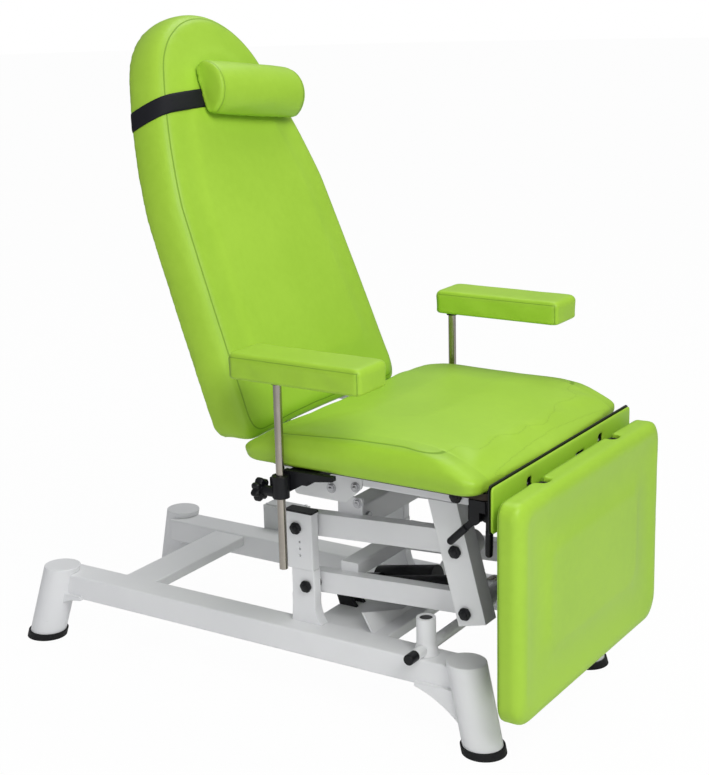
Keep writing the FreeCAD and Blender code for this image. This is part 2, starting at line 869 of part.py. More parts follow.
def links():
    x = rear_pivot_x + upper_tube_ahead
    z = rear_pivot_z + upper_tube_rise
    upper = joined([link(rear_pivot_x, rear_pivot_z, upper_link_height, running_gap),
                    link_ear(x, z, upper_tube_width, upper_tube_height, ear_ahead, ear_rise)])
    keep("upper_links", upper, mirrored(upper))
    low_x = lower_pivot_x + lower_tube_ahead
    low_z = lower_pivot_z + lower_tube_rise
    lower = joined([link(lower_pivot_x, lower_pivot_z, lower_link_height, open_pivot_gap),
                    link_ear(low_x, low_z, lower_tube_width, lower_tube_height, 0, 0)])
    keep("lower_links", lower, mirrored(lower))
    keep("upper_link_tube", link_tube(x, z, upper_tube_width, upper_tube_height))
    front = x + upper_tube_width / 2
    bolt = Part.makeCylinder(stop_bolt_radius, stop_bolt_height, vector(front, -stop_bolt_y, z),
                             x_axis)
    face_y = -link_inner_y - ear_thickness
    ear_bolt = across(side_bolt_radius, front + ear_ahead - ear_bolt_inset,
                      z + upper_tube_height / 2 + ear_rise - ear_bolt_inset, face_y - side_bolt_height, face_y)
    keep("link_stop_bolts", bolt, ear_bolt, mirrored(bolt), mirrored(ear_bolt))
    keep("lower_link_tube", link_tube(low_x, low_z, lower_tube_width, lower_tube_height))


def actuator_direction():
    start = vector(actuator_base_x, actuator_y, actuator_base_z)
    end = vector(actuator_tip_x, actuator_y, actuator_tip_z)
    return start, end, (end - start).normalize()


def actuator():
    start, end, along = actuator_direction()
    half = actuator_eye_width / 2
    plate_top = rail_top_z - rail_edge
    cheeks = []
    for side in (-1, 1):
        y0 = actuator_y + side * (half + plate_gap)
        y1 = y0 + side * lug_thickness
        foot_x = middle_cross_x - middle_cross_width / 2
        base_points = [(foot_x + cross_edge, plate_top), (foot_x + clevis_foot_length, plate_top),
                       (actuator_base_x + clevis_margin, actuator_base_z + clevis_margin / 2),
                       (actuator_base_x - clevis_margin / 2, actuator_base_z - clevis_margin / 2)]
        cheek = prism(base_points, min(y0, y1), max(y0, y1))
        eye = across(clevis_margin, actuator_base_x, actuator_base_z, min(y0, y1), max(y0, y1))
        cheeks.append(joined([cheek, eye]))
    outer = half + plate_gap + lug_thickness
    pin = across(actuator_pin_radius, actuator_base_x, actuator_base_z, actuator_y - outer,
                 actuator_y + outer)
    keep("actuator_clevis", joined(cheeks + [pin]))
    # Housing: rear eye, neck, outer tube, and the motor lying above it
    eye = across(actuator_eye_radius, actuator_base_x, actuator_base_z, actuator_y - half,
                 actuator_y + half)
    tube_start = start + along * actuator_tube_start
    tube_end = tube_start + along * actuator_tube_length
    neck = rod(actuator_neck_radius, start, tube_start)
    tube = rod(actuator_tube_radius, tube_start, tube_end)
    motor_rear = start + along * motor_start + vector(0, motor_side, 0)
    motor = rod(motor_radius, motor_rear, motor_rear + along * motor_length)
    gear_low = start + along * motor_start
    gearbox = joined([rod(motor_radius, gear_low, gear_low + along * gearbox_length),
                      rod(motor_radius, motor_rear, motor_rear + along * gearbox_length)])
    housing = joined([eye, neck, tube, motor, gearbox])
    bore_start = start + along * (actuator_tip_offset() - actuator_rod_length - actuator_retract)
    bore = rod(actuator_rod_radius + actuator_bore_gap, bore_start, tube_end + along * cut_overrun)
    hole = across(actuator_pin_radius + running_gap, actuator_base_x, actuator_base_z,
                  actuator_y - half - cut_overrun, actuator_y + half + cut_overrun)
    keep("actuator_housing", housing.cut([bore, hole]))
    # Rod, with an eye that leaves play round the front pin
    shaft = rod(actuator_rod_radius, end - along * actuator_rod_length, end - along * actuator_pin_radius)
    play = actuator_pin_radius + actuator_tip_play
    tip = across(play + actuator_tip_wall, end.x, end.z, actuator_y - half, actuator_y + half)
    slot = across(play, end.x, end.z, actuator_y - half - cut_overrun, actuator_y + half + cut_overrun)
    keep("actuator_rod", joined([shaft, tip]).cut(slot))
    # Lugs on the spacer tube between the lower front pivots
    lugs = []
    for side in (-1, 1):
        y0 = actuator_y + side * (half + plate_gap)
        y1 = y0 + side * lug_thickness
        lugs.append(bar(front_lower_x, front_lower_z, end.x, end.z, clevis_margin, min(y0, y1),
                        max(y0, y1)))
    end_y = link_inner_y - plate_gap / 2
    spacer = across(spacer_tube_radius, front_lower_x, front_lower_z, -end_y, end_y)
    bore_y = end_y - pivot_nut_height
    bores = [across(pivot_bolt_radius, front_lower_x, front_lower_z, -end_y - cut_overrun, -bore_y),
             across(pivot_bolt_radius, front_lower_x, front_lower_z, bore_y, end_y + cut_overrun)]
    tip_room = across(play + actuator_tip_wall + plate_gap, end.x, end.z, actuator_y - half - plate_gap,
                      actuator_y + half + plate_gap)
    pin = across(actuator_pin_radius, end.x, end.z, actuator_y - outer, actuator_y + outer)
    keep("carrier_tube", joined([joined([spacer] + lugs).cut(bores + [tip_room]), pin]))


def actuator_tip_offset():
    return math.hypot(actuator_tip_x - actuator_base_x, actuator_tip_z - actuator_base_z)


# Seat carrier

def strut():
    half = strut_width / 2
    lean = (strut_foot_x - strut_top_x) / (frame_bottom_z - front_lower_z)
    across_x = half * math.sqrt(1 + lean * lean)
    slope = math.atan(lean)
    side_x = half * math.cos(slope)
    side_z = half * math.sin(slope)
    end_x = strut_foot_x + strut_foot_reach * math.sin(slope)
    end_z = front_lower_z - strut_foot_reach * math.cos(slope)
    points = [(strut_top_x - across_x, frame_bottom_z), (strut_top_x + across_x, frame_bottom_z),
              (end_x + side_x, end_z + side_z), (end_x - side_x, end_z - side_z)]
    body = prism(points, -frame_outer_y, -frame_inner_y)
    holes = []
    for x, z in ((front_pivot_x, front_pivot_z), (front_lower_x, front_lower_z)):
        holes.append(across(pivot_bolt_radius, x, z, -frame_outer_y - cut_overrun,
                            -frame_inner_y + cut_overrun))
    return body.cut(holes)


def front_pivots():
    bolts = []
    collar_end = link_outer_y + plate_gap / 2
    upper = capped_bolt(front_pivot_x, front_pivot_z, frame_outer_y, link_inner_y - pivot_nut_height)
    upper.append(across(collar_radius, front_pivot_x, front_pivot_z, -frame_inner_y, -collar_end))
    upper.append(pivot_nut(front_pivot_x, front_pivot_z, link_inner_y - plate_gap / 2,
                           pivot_nut_height - plate_gap / 2))
    bolts.append(joined(upper))
    inner_end = link_inner_y - plate_gap / 2 - pivot_nut_height
    lower = capped_bolt(front_lower_x, front_lower_z, frame_outer_y, inner_end)
    lower.append(across(collar_radius, front_lower_x, front_lower_z, -frame_inner_y, -collar_end))
    bolts.append(joined(lower))
    bolts.append(across(bolt_cap_radius, strut_bolt_x, frame_bottom_z + bolt_cap_radius + cross_edge,
                        -frame_outer_y - bolt_cap_height, -frame_outer_y))
    keep("front_pivot_bolts", *bolts, *[mirrored(bolt) for bolt in bolts])


def seat_frame():
    rail = box(frame_rear_x, frame_front_x, -frame_outer_y, -frame_inner_y, frame_bottom_z, frame_top_z)
    rail = rounded(rail, frame_edge, x_axis)
    hollow = box(frame_rear_x, frame_front_x, -frame_outer_y + frame_wall, -frame_inner_y - frame_wall,
                 frame_bottom_z + frame_wall, frame_top_z - frame_wall)
    rail = rail.cut(hollow)
    pieces = [rail, mirrored(rail)]
    for x in (rear_beam_x, front_beam_x):
        pieces.append(box(x - beam_width / 2, x + beam_width / 2, -frame_inner_y - frame_wall / 2,
                          frame_inner_y + frame_wall / 2, frame_bottom_z + frame_wall, frame_top_z))
    return joined(pieces)


def hinge_plates():
    # Rear plates carry the backrest, front plates the leg rest; all lie against the frame rails
    rear_end = frame_rear_x + hinge_plate_length
    low = frame_bottom_z + hinge_plate_edge_drop
    y0 = -frame_inner_y
    y1 = -hinge_plate_inner_y
    rear = joined([box(frame_rear_x, rear_end, y0, y1, low, frame_top_z - frame_wall),
                   bar(back_hinge_x, back_hinge_z, frame_rear_x + hinge_eye_radius / 2,
                       low + hinge_eye_radius,
                       hinge_eye_radius - plate_gap, y0, y1)])
    inner = back_arm_inner_y - plate_gap
    pin = across(hinge_pin_radius, back_hinge_x, back_hinge_z, y1, -inner)
    head = across(hinge_head_radius, back_hinge_x, back_hinge_z, -inner, -inner + hinge_head_height)
    rear = joined([rear, pin, head])
    keep("back_hinge_plates", rear, mirrored(rear))
    front = joined([box(frame_front_x - hinge_plate_length, frame_front_x, y0, y1, low,
                        frame_top_z - frame_wall),
                    bar(frame_front_x - hinge_eye_radius, frame_top_z - frame_wall - leg_eye_radius,
                        leg_hinge_x,
                        leg_hinge_z, leg_eye_radius - plate_gap, y0, y1)])
    hole = across(leg_pin_radius + running_gap, leg_hinge_x, leg_hinge_z, y0 - cut_overrun,
                  y1 + cut_overrun)
    front = front.cut(hole)
    keep("leg_hinge_plates", front, mirrored(front))


def side_plate():
    low = frame_bottom_z - side_plate_drop
    high = frame_bottom_z + side_plate_rise
    x1 = side_plate_x + side_plate_length
    y0 = -frame_outer_y - side_plate_thickness
    corners = [(side_plate_x, low), (x1 - side_plate_slope_length, low),
               (x1, low + side_plate_slope_height), (x1, high), (side_plate_x, high)]
    plate = rounded(prism(corners, y0, -frame_outer_y), side_plate_corner, y_axis)
    bolts = []
    for ahead, drop in side_bolt_places:
        bolts.append(across(side_bolt_radius, side_plate_x + ahead, frame_bottom_z - drop,
                            y0 - side_bolt_height, y0))
    return plate, bolts


def seat_point(z):
    return lambda u, v: vector(u, v, z)


def seat_cushion():
    wires = []
    length = seat_front_x - seat_rear_x
    bottom = board_top_z + soft_gap
    for height_share, rear_share, front_share, side_share in seat_level_shares:
        half = seat_half_width * (1 - side_share)
        low = seat_rear_x + length * rear_share
        high = seat_front_x - seat_front_bow - length * front_share
        point = seat_point(bottom + seat_height * height_share)
        wires.append(soft_outline(point, low, high, half, seat_corner, seat_corner, seat_front_bow))
    # Pockets over the rear hinge plates
    foot_x = frame_rear_x + hinge_eye_radius / 2
    pocket = bar(back_hinge_x, back_hinge_z, foot_x, board_top_z, hinge_eye_radius + plate_gap,
                 -frame_inner_y - plate_gap, -hinge_plate_inner_y + plate_gap)
    return lofted(wires).cut([pocket, mirrored(pocket)])


def seat():
    keep("seat_frame", seat_frame())
    board = box(board_rear_x, board_front_x, -board_half_width, board_half_width, frame_top_z,
                board_top_z)
    keep("seat_board", rounded(board, board_corner, z_axis))
    keep("seat_cushion", seat_cushion())
    body = strut()
    keep("front_struts", body, mirrored(body))
    front_pivots()
    hinge_plates()
    plate, bolts = side_plate()
    keep("side_plates", plate, mirrored(plate))
    keep("side_plate_bolts", *bolts, *[mirrored(bolt) for bolt in bolts])


def flap():
    low = frame_top_z - flap_drop
    high = low + flap_height
    backing = box(frame_front_x, frame_front_x + flap_trim_thickness, -flap_half_width, flap_half_width,
                  low, high)
    backing = rounded(backing, flap_corner, x_axis)
    inner_half = flap_half_width - flap_trim_width
    panel = box(frame_front_x + flap_trim_thickness, frame_front_x + flap_thickness, -inner_half, inner_half,
                low + flap_trim_width, high - flap_trim_width)
    panel = rounded(panel, flap_corner - flap_trim_width, x_axis)
    notches = []
    for y in (-leg_bar_y, leg_bar_y):
        notches.append(box(frame_front_x - cut_overrun, frame_front_x + flap_thickness + cut_overrun,
                           y - flap_notch_half_width, y + flap_notch_half_width,
                           low - cut_overrun, low + flap_notch_height))
    notches.append(box(frame_front_x - cut_overrun, frame_front_x + flap_thickness + cut_overrun,
                       leg_gas_y - flap_spring_notch, leg_gas_y + flap_spring_notch,
                       low - cut_overrun, low + flap_spring_notch_height))
    keep("front_flap", panel.cut(notches))
    keep("flap_trim", backing.cut(notches))


# Backrest, in its own frame and then tilted

def back_placement():
    origin = vector(back_origin_x, 0, frame_top_z + back_origin_rise)
    return FreeCAD.Placement(origin, FreeCAD.Rotation(y_axis, -back_recline_deg))


def tilted(shape):
    moved = shape.copy()
    moved.Placement = back_placement().multiply(moved.Placement)
    return moved


def back_local(x, z):
    # Depth and length of a point of the XZ plane in the backrest's frame
    local = back_placement().inverse().multVec(vector(x, 0, z))
    return local.x, local.z


def back_outline(depth, inset, foot_rise):
    foot = foot_rise + max(inset, 0)
    corner = back_foot_corner
    foot_half = back_foot_half_width - inset
    head_half = back_head_half_width - inset * back_head_inset_share
    head_length = back_head_length - inset * back_head_inset_share
    places = {
        "foot": (foot, foot_half - corner), "rise": (foot + corner, foot_half),
        "low": (back_low_length, back_low_half_width - inset),
        "waist": (back_waist_length, back_waist_half_width - inset),
        "neck": (back_neck_length - inset * back_neck_rise_share,
                 back_neck_half_width - inset * back_neck_inset_share),
        "head": (head_length, head_half),
        "top": (back_length - inset, 0),
    }
    turn = corner_middle((foot + corner, foot_half - corner), corner, -1, 1)

    def at(place, side):
        return vector(depth, side * place[1], place[0])

    edges = [straight(at(places["foot"], -1), at(places["foot"], 1))]
    edges.append(arc(at(places["foot"], 1), at(turn, 1), at(places["rise"], 1)))
    edges.append(arc(at(places["rise"], 1), at(places["low"], 1), at(places["waist"], 1)))
    edges.append(arc(at(places["waist"], 1), at(places["neck"], 1), at(places["head"], 1)))
    edges.append(arc(at(places["head"], 1), at(places["top"], 1), at(places["head"], -1)))
    edges.append(arc(at(places["head"], -1), at(places["neck"], -1), at(places["waist"], -1)))
    edges.append(arc(at(places["waist"], -1), at(places["low"], -1), at(places["rise"], -1)))
    edges.append(arc(at(places["rise"], -1), at(turn, -1), at(places["foot"], -1)))
    return Part.Wire(edges)


def back_cushion_local():
    wires = []
    for depth_share, inset_share, foot_share in back_level_shares:
        wires.append(back_outline(-back_thickness * depth_share, back_thickness * inset_share,
                                  back_thickness * foot_share))
    return lofted(wires)


def back_board_local(room):
    # Flat panel let into the rear face
    face = Part.Face(back_outline(-back_thickness, back_board_inset - room,
                                  back_board_foot - back_board_inset))
    return face.extrude(vector(back_board_thickness + room, 0, 0))


def back_arm():
    hinge_depth, hinge_length = back_local(back_hinge_x, back_hinge_z)
    knee_depth = -back_thickness - back_arm_width / 2
    y0 = -back_arm_outer_y
    y1 = -back_arm_inner_y
    lower = bar(hinge_depth, hinge_length, knee_depth, back_arm_knee, back_arm_width / 2, y0, y1)
    upper = bar(knee_depth, back_arm_knee, knee_depth, back_arm_length, back_arm_width / 2, y0, y1)
    eye = across(hinge_eye_radius, hinge_depth, hinge_length, y0, y1)
    hole = across(hinge_pin_radius + running_gap, hinge_depth, hinge_length, y0 - cut_overrun,
                  y1 + cut_overrun)
    # The strip against the rear face is cut flat so that it seats on the board
    strip = box(knee_depth - back_arm_width / 2, -back_thickness, y0, y1, back_arm_knee, back_arm_length)
    body = joined([lower, upper, eye, strip]).cut(hole)
    room = box(-back_thickness, back_thickness, y0 - cut_overrun, y1 + cut_overrun,
               back_arm_knee, back_arm_length + back_arm_width)
    return body.cut(room)


def backrest():
    cushion = back_cushion_local()
    keep("backrest_cushion", tilted(cushion.cut(back_board_local(soft_gap))))
    keep("backrest_board", tilted(back_board_local(0)))
    arm = tilted(back_arm())
    keep("backrest_arms", arm, mirrored(arm))
    # Lugs for the gas spring hang from the rear face of the board
    tip_depth, tip_length = back_local(back_gas_tip_x, frame_top_z - back_gas_tip_drop)
    half = gas_eye_width / 2 + plate_gap
    pieces = []
    for side in (-1, 1):
        y0 = back_gas_y + side * half
        y1 = y0 + side * gas_lug_thickness
        low = min(y0, y1)
        high = max(y0, y1)
        knee_depth = -back_thickness - back_arm_width / 2
        lower = bar(tip_depth, tip_length, knee_depth, back_arm_knee, gas_lug_radius, low, high)
        upper = box(knee_depth - back_arm_width / 2, -back_thickness, low, high, back_arm_knee,
                    back_lug_top)
        pieces.extend([lower, upper])
    clear = box(-back_thickness, back_thickness, back_gas_y - back_thickness, back_gas_y + back_thickness,
                back_arm_knee, back_thickness * 2)
    bridge = box(-back_thickness - back_arm_width, -back_thickness, back_gas_y - half, back_gas_y + half,
                 back_lug_bridge, back_lug_top)
    pin = across(gas_pin_radius, tip_depth, tip_length, back_gas_y - half, back_gas_y + half)
    keep("backrest_spring_lug", tilted(joined([joined(pieces + [bridge]).cut(clear), pin])))


def pillow_section(y, radius):
    # Half round with softened corners where its flat side ends
    corner = pillow_corner
    flat = radius - corner * 2 * (1 - math.sqrt(0.5)) - corner / 2
    turn = math.sqrt(radius * radius - corner * corner)
    bend_x = corner * (1 - math.sqrt(0.5))
    bend_z = flat + (turn - flat) * math.sqrt(0.5)
    middle = radius * math.sqrt(0.5)
    edges = [straight(vector(0, y, -flat), vector(0, y, flat))]
    edges.append(arc(vector(0, y, flat), vector(bend_x, y, bend_z), vector(corner, y, turn)))
    edges.append(arc(vector(corner, y, turn), vector(middle, y, middle), vector(radius, y, 0)))
    edges.append(arc(vector(radius, y, 0), vector(middle, y, -middle), vector(corner, y, -turn)))
    edges.append(arc(vector(corner, y, -turn), vector(bend_x, y, -bend_z), vector(0, y, -flat)))
    return Part.Wire(edges)


def pillow():
    wires = []
    half = pillow_length / 2
    levels = ((-half, pillow_end_draw), (-half + pillow_end_step, pillow_end_step_draw),
              (-half + pillow_end_shoulder, 0), (half - pillow_end_shoulder, 0),
              (half - pillow_end_step, pillow_end_step_draw), (half, pillow_end_draw))
    for y, draw in levels:
        wires.append(pillow_section(y, pillow_radius - draw))
    roll = lofted(wires)
    roll.rotate(vector(0, 0, 0), x_axis, -pillow_turn_deg)
    back = strap_gap + strap_thickness + soft_gap
    roll.translate(vector(back, pillow_y, pillow_along))
    return tilted(roll)


def strap_wire(length, grow):
    def at(depth, y):
        return vector(depth, y, length)

    share = (length - back_neck_length) / (back_head_length - back_neck_length)
    half = back_neck_half_width + (back_head_half_width - back_neck_half_width) * share
    half = half + back_bulge + strap_bow + grow
    front = grow
    rear = -back_thickness - grow
    corner = strap_corner + grow
    reach = corner * (1 - math.sqrt(0.5))
    rear_corner = corner * strap_rear_corner_share
    rear_reach = rear_corner * (1 - math.sqrt(0.5))
    edges = []
    edges.append(straight(at(front, -half + corner), at(front, half - corner)))
    edges.append(arc(at(front, half - corner), at(front - reach, half - reach), at(front - corner, half)))
    edges.append(straight(at(front - corner, half), at(rear + rear_corner, half)))
    edges.append(arc(at(rear + rear_corner, half), at(rear + rear_reach, half - rear_reach),
                     at(rear, half - rear_corner)))
    edges.append(straight(at(rear, half - rear_corner), at(rear, -half + rear_corner)))
    edges.append(arc(at(rear, -half + rear_corner), at(rear + rear_reach, -half + rear_reach),
                     at(rear + rear_corner, -half)))
    edges.append(straight(at(rear + rear_corner, -half), at(front - corner, -half)))
    edges.append(arc(at(front - corner, -half), at(front - reach, -half + reach),
                     at(front, -half + corner)))
    return Part.Wire(edges)


def strap():
    low = strap_along - strap_width / 2
    high = strap_along + strap_width / 2
    outer = Part.makeLoft([strap_wire(low, strap_gap + strap_thickness),
                           strap_wire(high, strap_gap + strap_thickness)],
                          True, True)
    inner = Part.makeLoft([strap_wire(low, strap_gap), strap_wire(high, strap_gap)], True, True)
    return tilted(outer.cut(inner))


# Leg rest

def leg_rest():
    wires = []
    for depth_share, inset_share in leg_level_shares:
        inset = leg_thickness * inset_share
        x = leg_rear_x + leg_thickness * depth_share
        corner_low = leg_bottom_corner
        point = lambda u, v, x=x: vector(x, v, u)
        wires.append(soft_outline(point, leg_bottom_z + max(inset, 0), leg_top_z - max(inset, 0),
                                  leg_half_width - inset,
                                  corner_low, leg_top_corner, cross_edge / 2))
    cushion = lofted(wires)
    recesses = []
    lugs = []
    recess_low = leg_top_z - leg_recess_height
    for y in (-leg_bar_y, leg_bar_y):
        recesses.append(box(leg_rear_x - cut_overrun, leg_rear_x + leg_recess_depth,
                            y - leg_recess_half_width,
                            y + leg_recess_half_width, recess_low, leg_top_z + cut_overrun))
        ear = hinge_plate_thickness / 2 + plate_gap
        floor_x = leg_rear_x + leg_recess_depth
        pieces = [box(floor_x - leg_lug_backing, floor_x, y - ear - leg_lug_thickness,
                      y + ear + leg_lug_thickness,
                      recess_low + soft_gap, leg_hinge_z + leg_eye_radius)]
        for side in (-1, 1):
            y0 = y + side * ear
            y1 = y0 + side * leg_lug_thickness
            low = min(y0, y1)
            high = max(y0, y1)
            pieces.append(across(leg_eye_radius - plate_gap, leg_hinge_x, leg_hinge_z, low, high))
            pieces.append(box(leg_hinge_x, floor_x, low, high, leg_hinge_z - leg_eye_radius + plate_gap,
                              leg_hinge_z + leg_eye_radius - plate_gap))
        pieces.append(across(leg_pin_radius, leg_hinge_x, leg_hinge_z, y - ear, y + ear))
        lugs.append(joined(pieces))
    keep("leg_hinge_lugs", *lugs)
    # Rear board, flush with the rear face below the recesses
    board_top = recess_low - leg_recess_half_width
    board_room = box(leg_rear_x - cut_overrun, leg_rear_x + leg_board_thickness,
                     -leg_half_width + leg_board_inset,
                     leg_half_width - leg_board_inset, leg_bottom_z + leg_board_inset, board_top)
    board = box(leg_rear_x, leg_rear_x + leg_board_thickness - soft_gap,
                -leg_half_width + leg_board_inset + soft_gap,
                leg_half_width - leg_board_inset - soft_gap, leg_bottom_z + leg_board_inset + soft_gap,
                board_top - soft_gap)
    keep("leg_rest_cushion", cushion.cut(recesses + [board_room]))
    keep("leg_rest_board", board)
    # Lugs for the gas spring on the board
    half = gas_eye_width / 2 + plate_gap
    tip_z = frame_top_z - leg_gas_tip_drop
    lug_top = tip_z - gas_lug_radius * 2 - leg_gas_play
    pieces = [box(leg_rear_x - gas_lug_thickness, leg_rear_x, leg_gas_y - half - gas_lug_thickness,
                  leg_gas_y + half + gas_lug_thickness, lug_top - leg_board_inset, lug_top)]
    for side in (-1, 1):
        y0 = leg_gas_y + side * half
        y1 = y0 + side * gas_lug_thickness
        pieces.append(bar(leg_gas_tip_x, tip_z, leg_rear_x - gas_lug_radius, lug_top - gas_lug_radius,
                          gas_lug_radius, min(y0, y1), max(y0, y1)))
    pieces.append(across(gas_pin_radius, leg_gas_tip_x, tip_z, leg_gas_y - half, leg_gas_y + half))
    keep("leg_rest_spring_lug", joined(pieces))


# Gas springs

def gas_spring(prefix, y, base, tip, tube_length, rod_length, retract, play, beam_face, beam_side):
    start = vector(base[0], y, base[1])
    end = vector(tip[0], y, tip[1])
    along = (end - start).normalize()
    half = gas_eye_width / 2
    eye = across(gas_eye_radius, start.x, start.z, y - half, y + half)
    tube_start = start + along * (gas_lug_radius + plate_gap)
    neck = rod(gas_neck_radius, start, tube_start)
    tube = rod(gas_tube_radius, tube_start, start + along * tube_length)
    reach = (end - start).Length
    bore_start = start + along * (reach - rod_length - retract - plate_gap)
    bore = rod(gas_rod_radius + gas_bore_gap, bore_start, start + along * (tube_length + cut_overrun))
    hole = across(gas_pin_radius + running_gap, start.x, start.z, y - half - cut_overrun,
                  y + half + cut_overrun)
    keep(prefix + "_cylinder", joined([eye, neck, tube]).cut([bore, hole]))
    inner = gas_pin_radius + play
    tip_eye = across(inner + gas_tip_wall, end.x, end.z, y - half, y + half)
    shaft = rod(gas_rod_radius, end - along * rod_length, end - along * inner)
    slot = across(inner, end.x, end.z, y - half - cut_overrun, y + half + cut_overrun)
    keep(prefix + "_rod", joined([tip_eye, shaft]).cut(slot))
    # Clevis that hangs from the frame's cross beam
    pieces = []
    side_y = half + plate_gap
    for side in (-1, 1):
        y0 = y + side * side_y
        y1 = y0 + side * gas_lug_thickness
        low = min(y0, y1)
        high = max(y0, y1)
        pieces.append(across(gas_lug_radius, start.x, start.z, low, high))
        pieces.append(box(min(start.x, beam_face), max(start.x, beam_face), low, high,
                          start.z - gas_lug_radius, start.z + gas_lug_radius))
    outer = side_y + gas_lug_thickness
    pieces.append(across(gas_pin_radius, start.x, start.z, y - outer, y + outer))
    plate_face = beam_face + beam_side * gas_lug_thickness
    pieces.append(box(min(plate_face, beam_face), max(plate_face, beam_face), y - outer, y + outer,
                      start.z - gas_lug_radius, start.z + gas_lug_radius))
    return joined(pieces)


def gas_springs():
    rear = gas_spring("backrest_spring", back_gas_y, (back_gas_base_x, frame_top_z - back_gas_drop),
                      (back_gas_tip_x,
                       frame_top_z - back_gas_tip_drop), back_gas_tube_length, back_gas_rod_length,
                      back_gas_retract, back_gas_play, rear_beam_x - beam_width / 2, -1)
    front = gas_spring("leg_rest_spring", leg_gas_y, (leg_gas_base_x, frame_top_z - leg_gas_drop),
                       (leg_gas_tip_x,
                        frame_top_z - leg_gas_tip_drop), leg_gas_tube_length, leg_gas_rod_length,
                       leg_gas_retract, leg_gas_play, front_beam_x + beam_width / 2, 1)
    keep("gas_spring_clevises", rear, front)


# Arm rests

def arm_pad(ahead):
    wires = []
    bottom = arm_post_top_z + arm_plate_thickness + soft_gap * 2
    centre = arm_post_x + ahead
    low = centre - arm_pad_length / 2
    for height_share, inset_share in pad_level_shares:
        inset = arm_pad_height * inset_share
        z = bottom + arm_pad_height * height_share
        point = lambda u, v, z=z: vector(u, v - arm_post_y, z)
        wires.append(soft_outline(point, low + inset, low + arm_pad_length - inset,
                                  arm_pad_width / 2 - inset,
                                  arm_pad_corner - inset / 2, arm_pad_corner - inset / 2, soft_gap))
    return lofted(wires)


def pad_plate(ahead):
    centre = arm_post_x + ahead
    top = arm_post_top_z + soft_gap
    low_x = min(centre - arm_plate_length / 2, arm_post_x - arm_plate_rear_reach)
    high_x = low_x + arm_plate_length
    plate = box(low_x, high_x, -arm_post_y - arm_plate_width / 2, -arm_post_y + arm_plate_width / 2,
                top, top + arm_plate_thickness)
    plate = rounded(plate, arm_socket_radius, z_axis)
    socket = standing(arm_socket_radius, arm_post_x, -arm_post_y, top - arm_socket_depth, top)
    bore = standing(arm_post_radius + running_gap, arm_post_x, -arm_post_y,
                    top - arm_socket_depth - cut_overrun, top)
    return joined([plate, socket]).cut(bore)


def star_knob():
    # The knob's axis runs along X through the clamp neck to the post
    face = arm_post_x - clamp_hub_radius - clamp_neck_length
    back = face - knob_collar_length
    head = Part.makeCylinder(knob_radius - knob_lobe_radius, knob_thickness,
                             vector(back, -arm_post_y, knob_z), -x_axis)
    pieces = [head]
    for index in range(knob_lobes):
        angle = 2 * math.pi * index / knob_lobes
        reach = knob_radius - knob_lobe_radius
        centre = vector(back, -arm_post_y + reach * math.cos(angle), knob_z + reach * math.sin(angle))
        pieces.append(Part.makeCylinder(knob_lobe_radius, knob_thickness, centre, -x_axis))
    pieces.append(Part.makeCylinder(knob_collar_radius, knob_collar_length - knob_stop_gap,
                                    vector(back, -arm_post_y, knob_z), x_axis))
    stud_length = arm_post_x - arm_post_radius - knob_stop_gap - back
    pieces.append(Part.makeCylinder(knob_stud_radius, stud_length, vector(back, -arm_post_y, knob_z),
                                    x_axis))
    return joined(pieces)


def arm_clamp():
    points = []
    for along_share, down_share in clamp_shares:
        points.append((clamp_rear_x + clamp_length * along_share,
                       board_top_z - plate_gap - clamp_height * down_share))
    side = prism(points, -clamp_outer_y, -clamp_outer_y + clamp_plate_thickness)
    beam_top = frame_top_z
    beam = box(clamp_beam_x, clamp_beam_x + clamp_beam_length, -clamp_outer_y,
               -frame_outer_y - side_plate_thickness,
               beam_top - clamp_beam_height, beam_top)
    foot = box(clamp_beam_x, clamp_beam_x + clamp_beam_length, -frame_outer_y - side_plate_thickness,
               -frame_outer_y,
               frame_bottom_z + side_plate_rise + plate_gap / 2, beam_top)
    hub_top = board_top_z - clamp_hub_drop
    hub = standing(clamp_hub_radius, arm_post_x, -arm_post_y, hub_top - clamp_hub_height, hub_top)
    neck_end = arm_post_x - clamp_hub_radius - clamp_neck_length
    neck = Part.makeCylinder(clamp_neck_radius, clamp_hub_radius + clamp_neck_length,
                             vector(neck_end, -arm_post_y, knob_z), x_axis)
    bore = standing(arm_post_radius + running_gap, arm_post_x, -arm_post_y,
                    hub_top - clamp_hub_height - cut_overrun,
                    hub_top + cut_overrun)
    stud_room = Part.makeCylinder(knob_stud_radius + running_gap,
                                  clamp_hub_radius + clamp_neck_length + cut_overrun,
                                  vector(neck_end - cut_overrun, -arm_post_y, knob_z), x_axis)
    return joined([side, beam, foot, hub, neck]).cut([bore, stud_room])


def arms():
    clamp = arm_clamp()
    knob = star_knob()
    post = standing(arm_post_radius, arm_post_x, -arm_post_y, arm_post_bottom_z, arm_post_top_z)
    keep("arm_clamps", clamp, mirrored(clamp))
    keep("arm_knob_right", knob)
    keep("arm_knob_left", mirrored(knob))
    keep("arm_post_right", post)
    keep("arm_post_left", mirrored(post))
    keep("arm_plate_right", pad_plate(right_pad_ahead))
    keep("arm_plate_left", mirrored(pad_plate(left_pad_ahead)))
    keep("arm_pad_right", arm_pad(right_pad_ahead))
    keep("arm_pad_left", mirrored(arm_pad(left_pad_ahead)))


# Levers

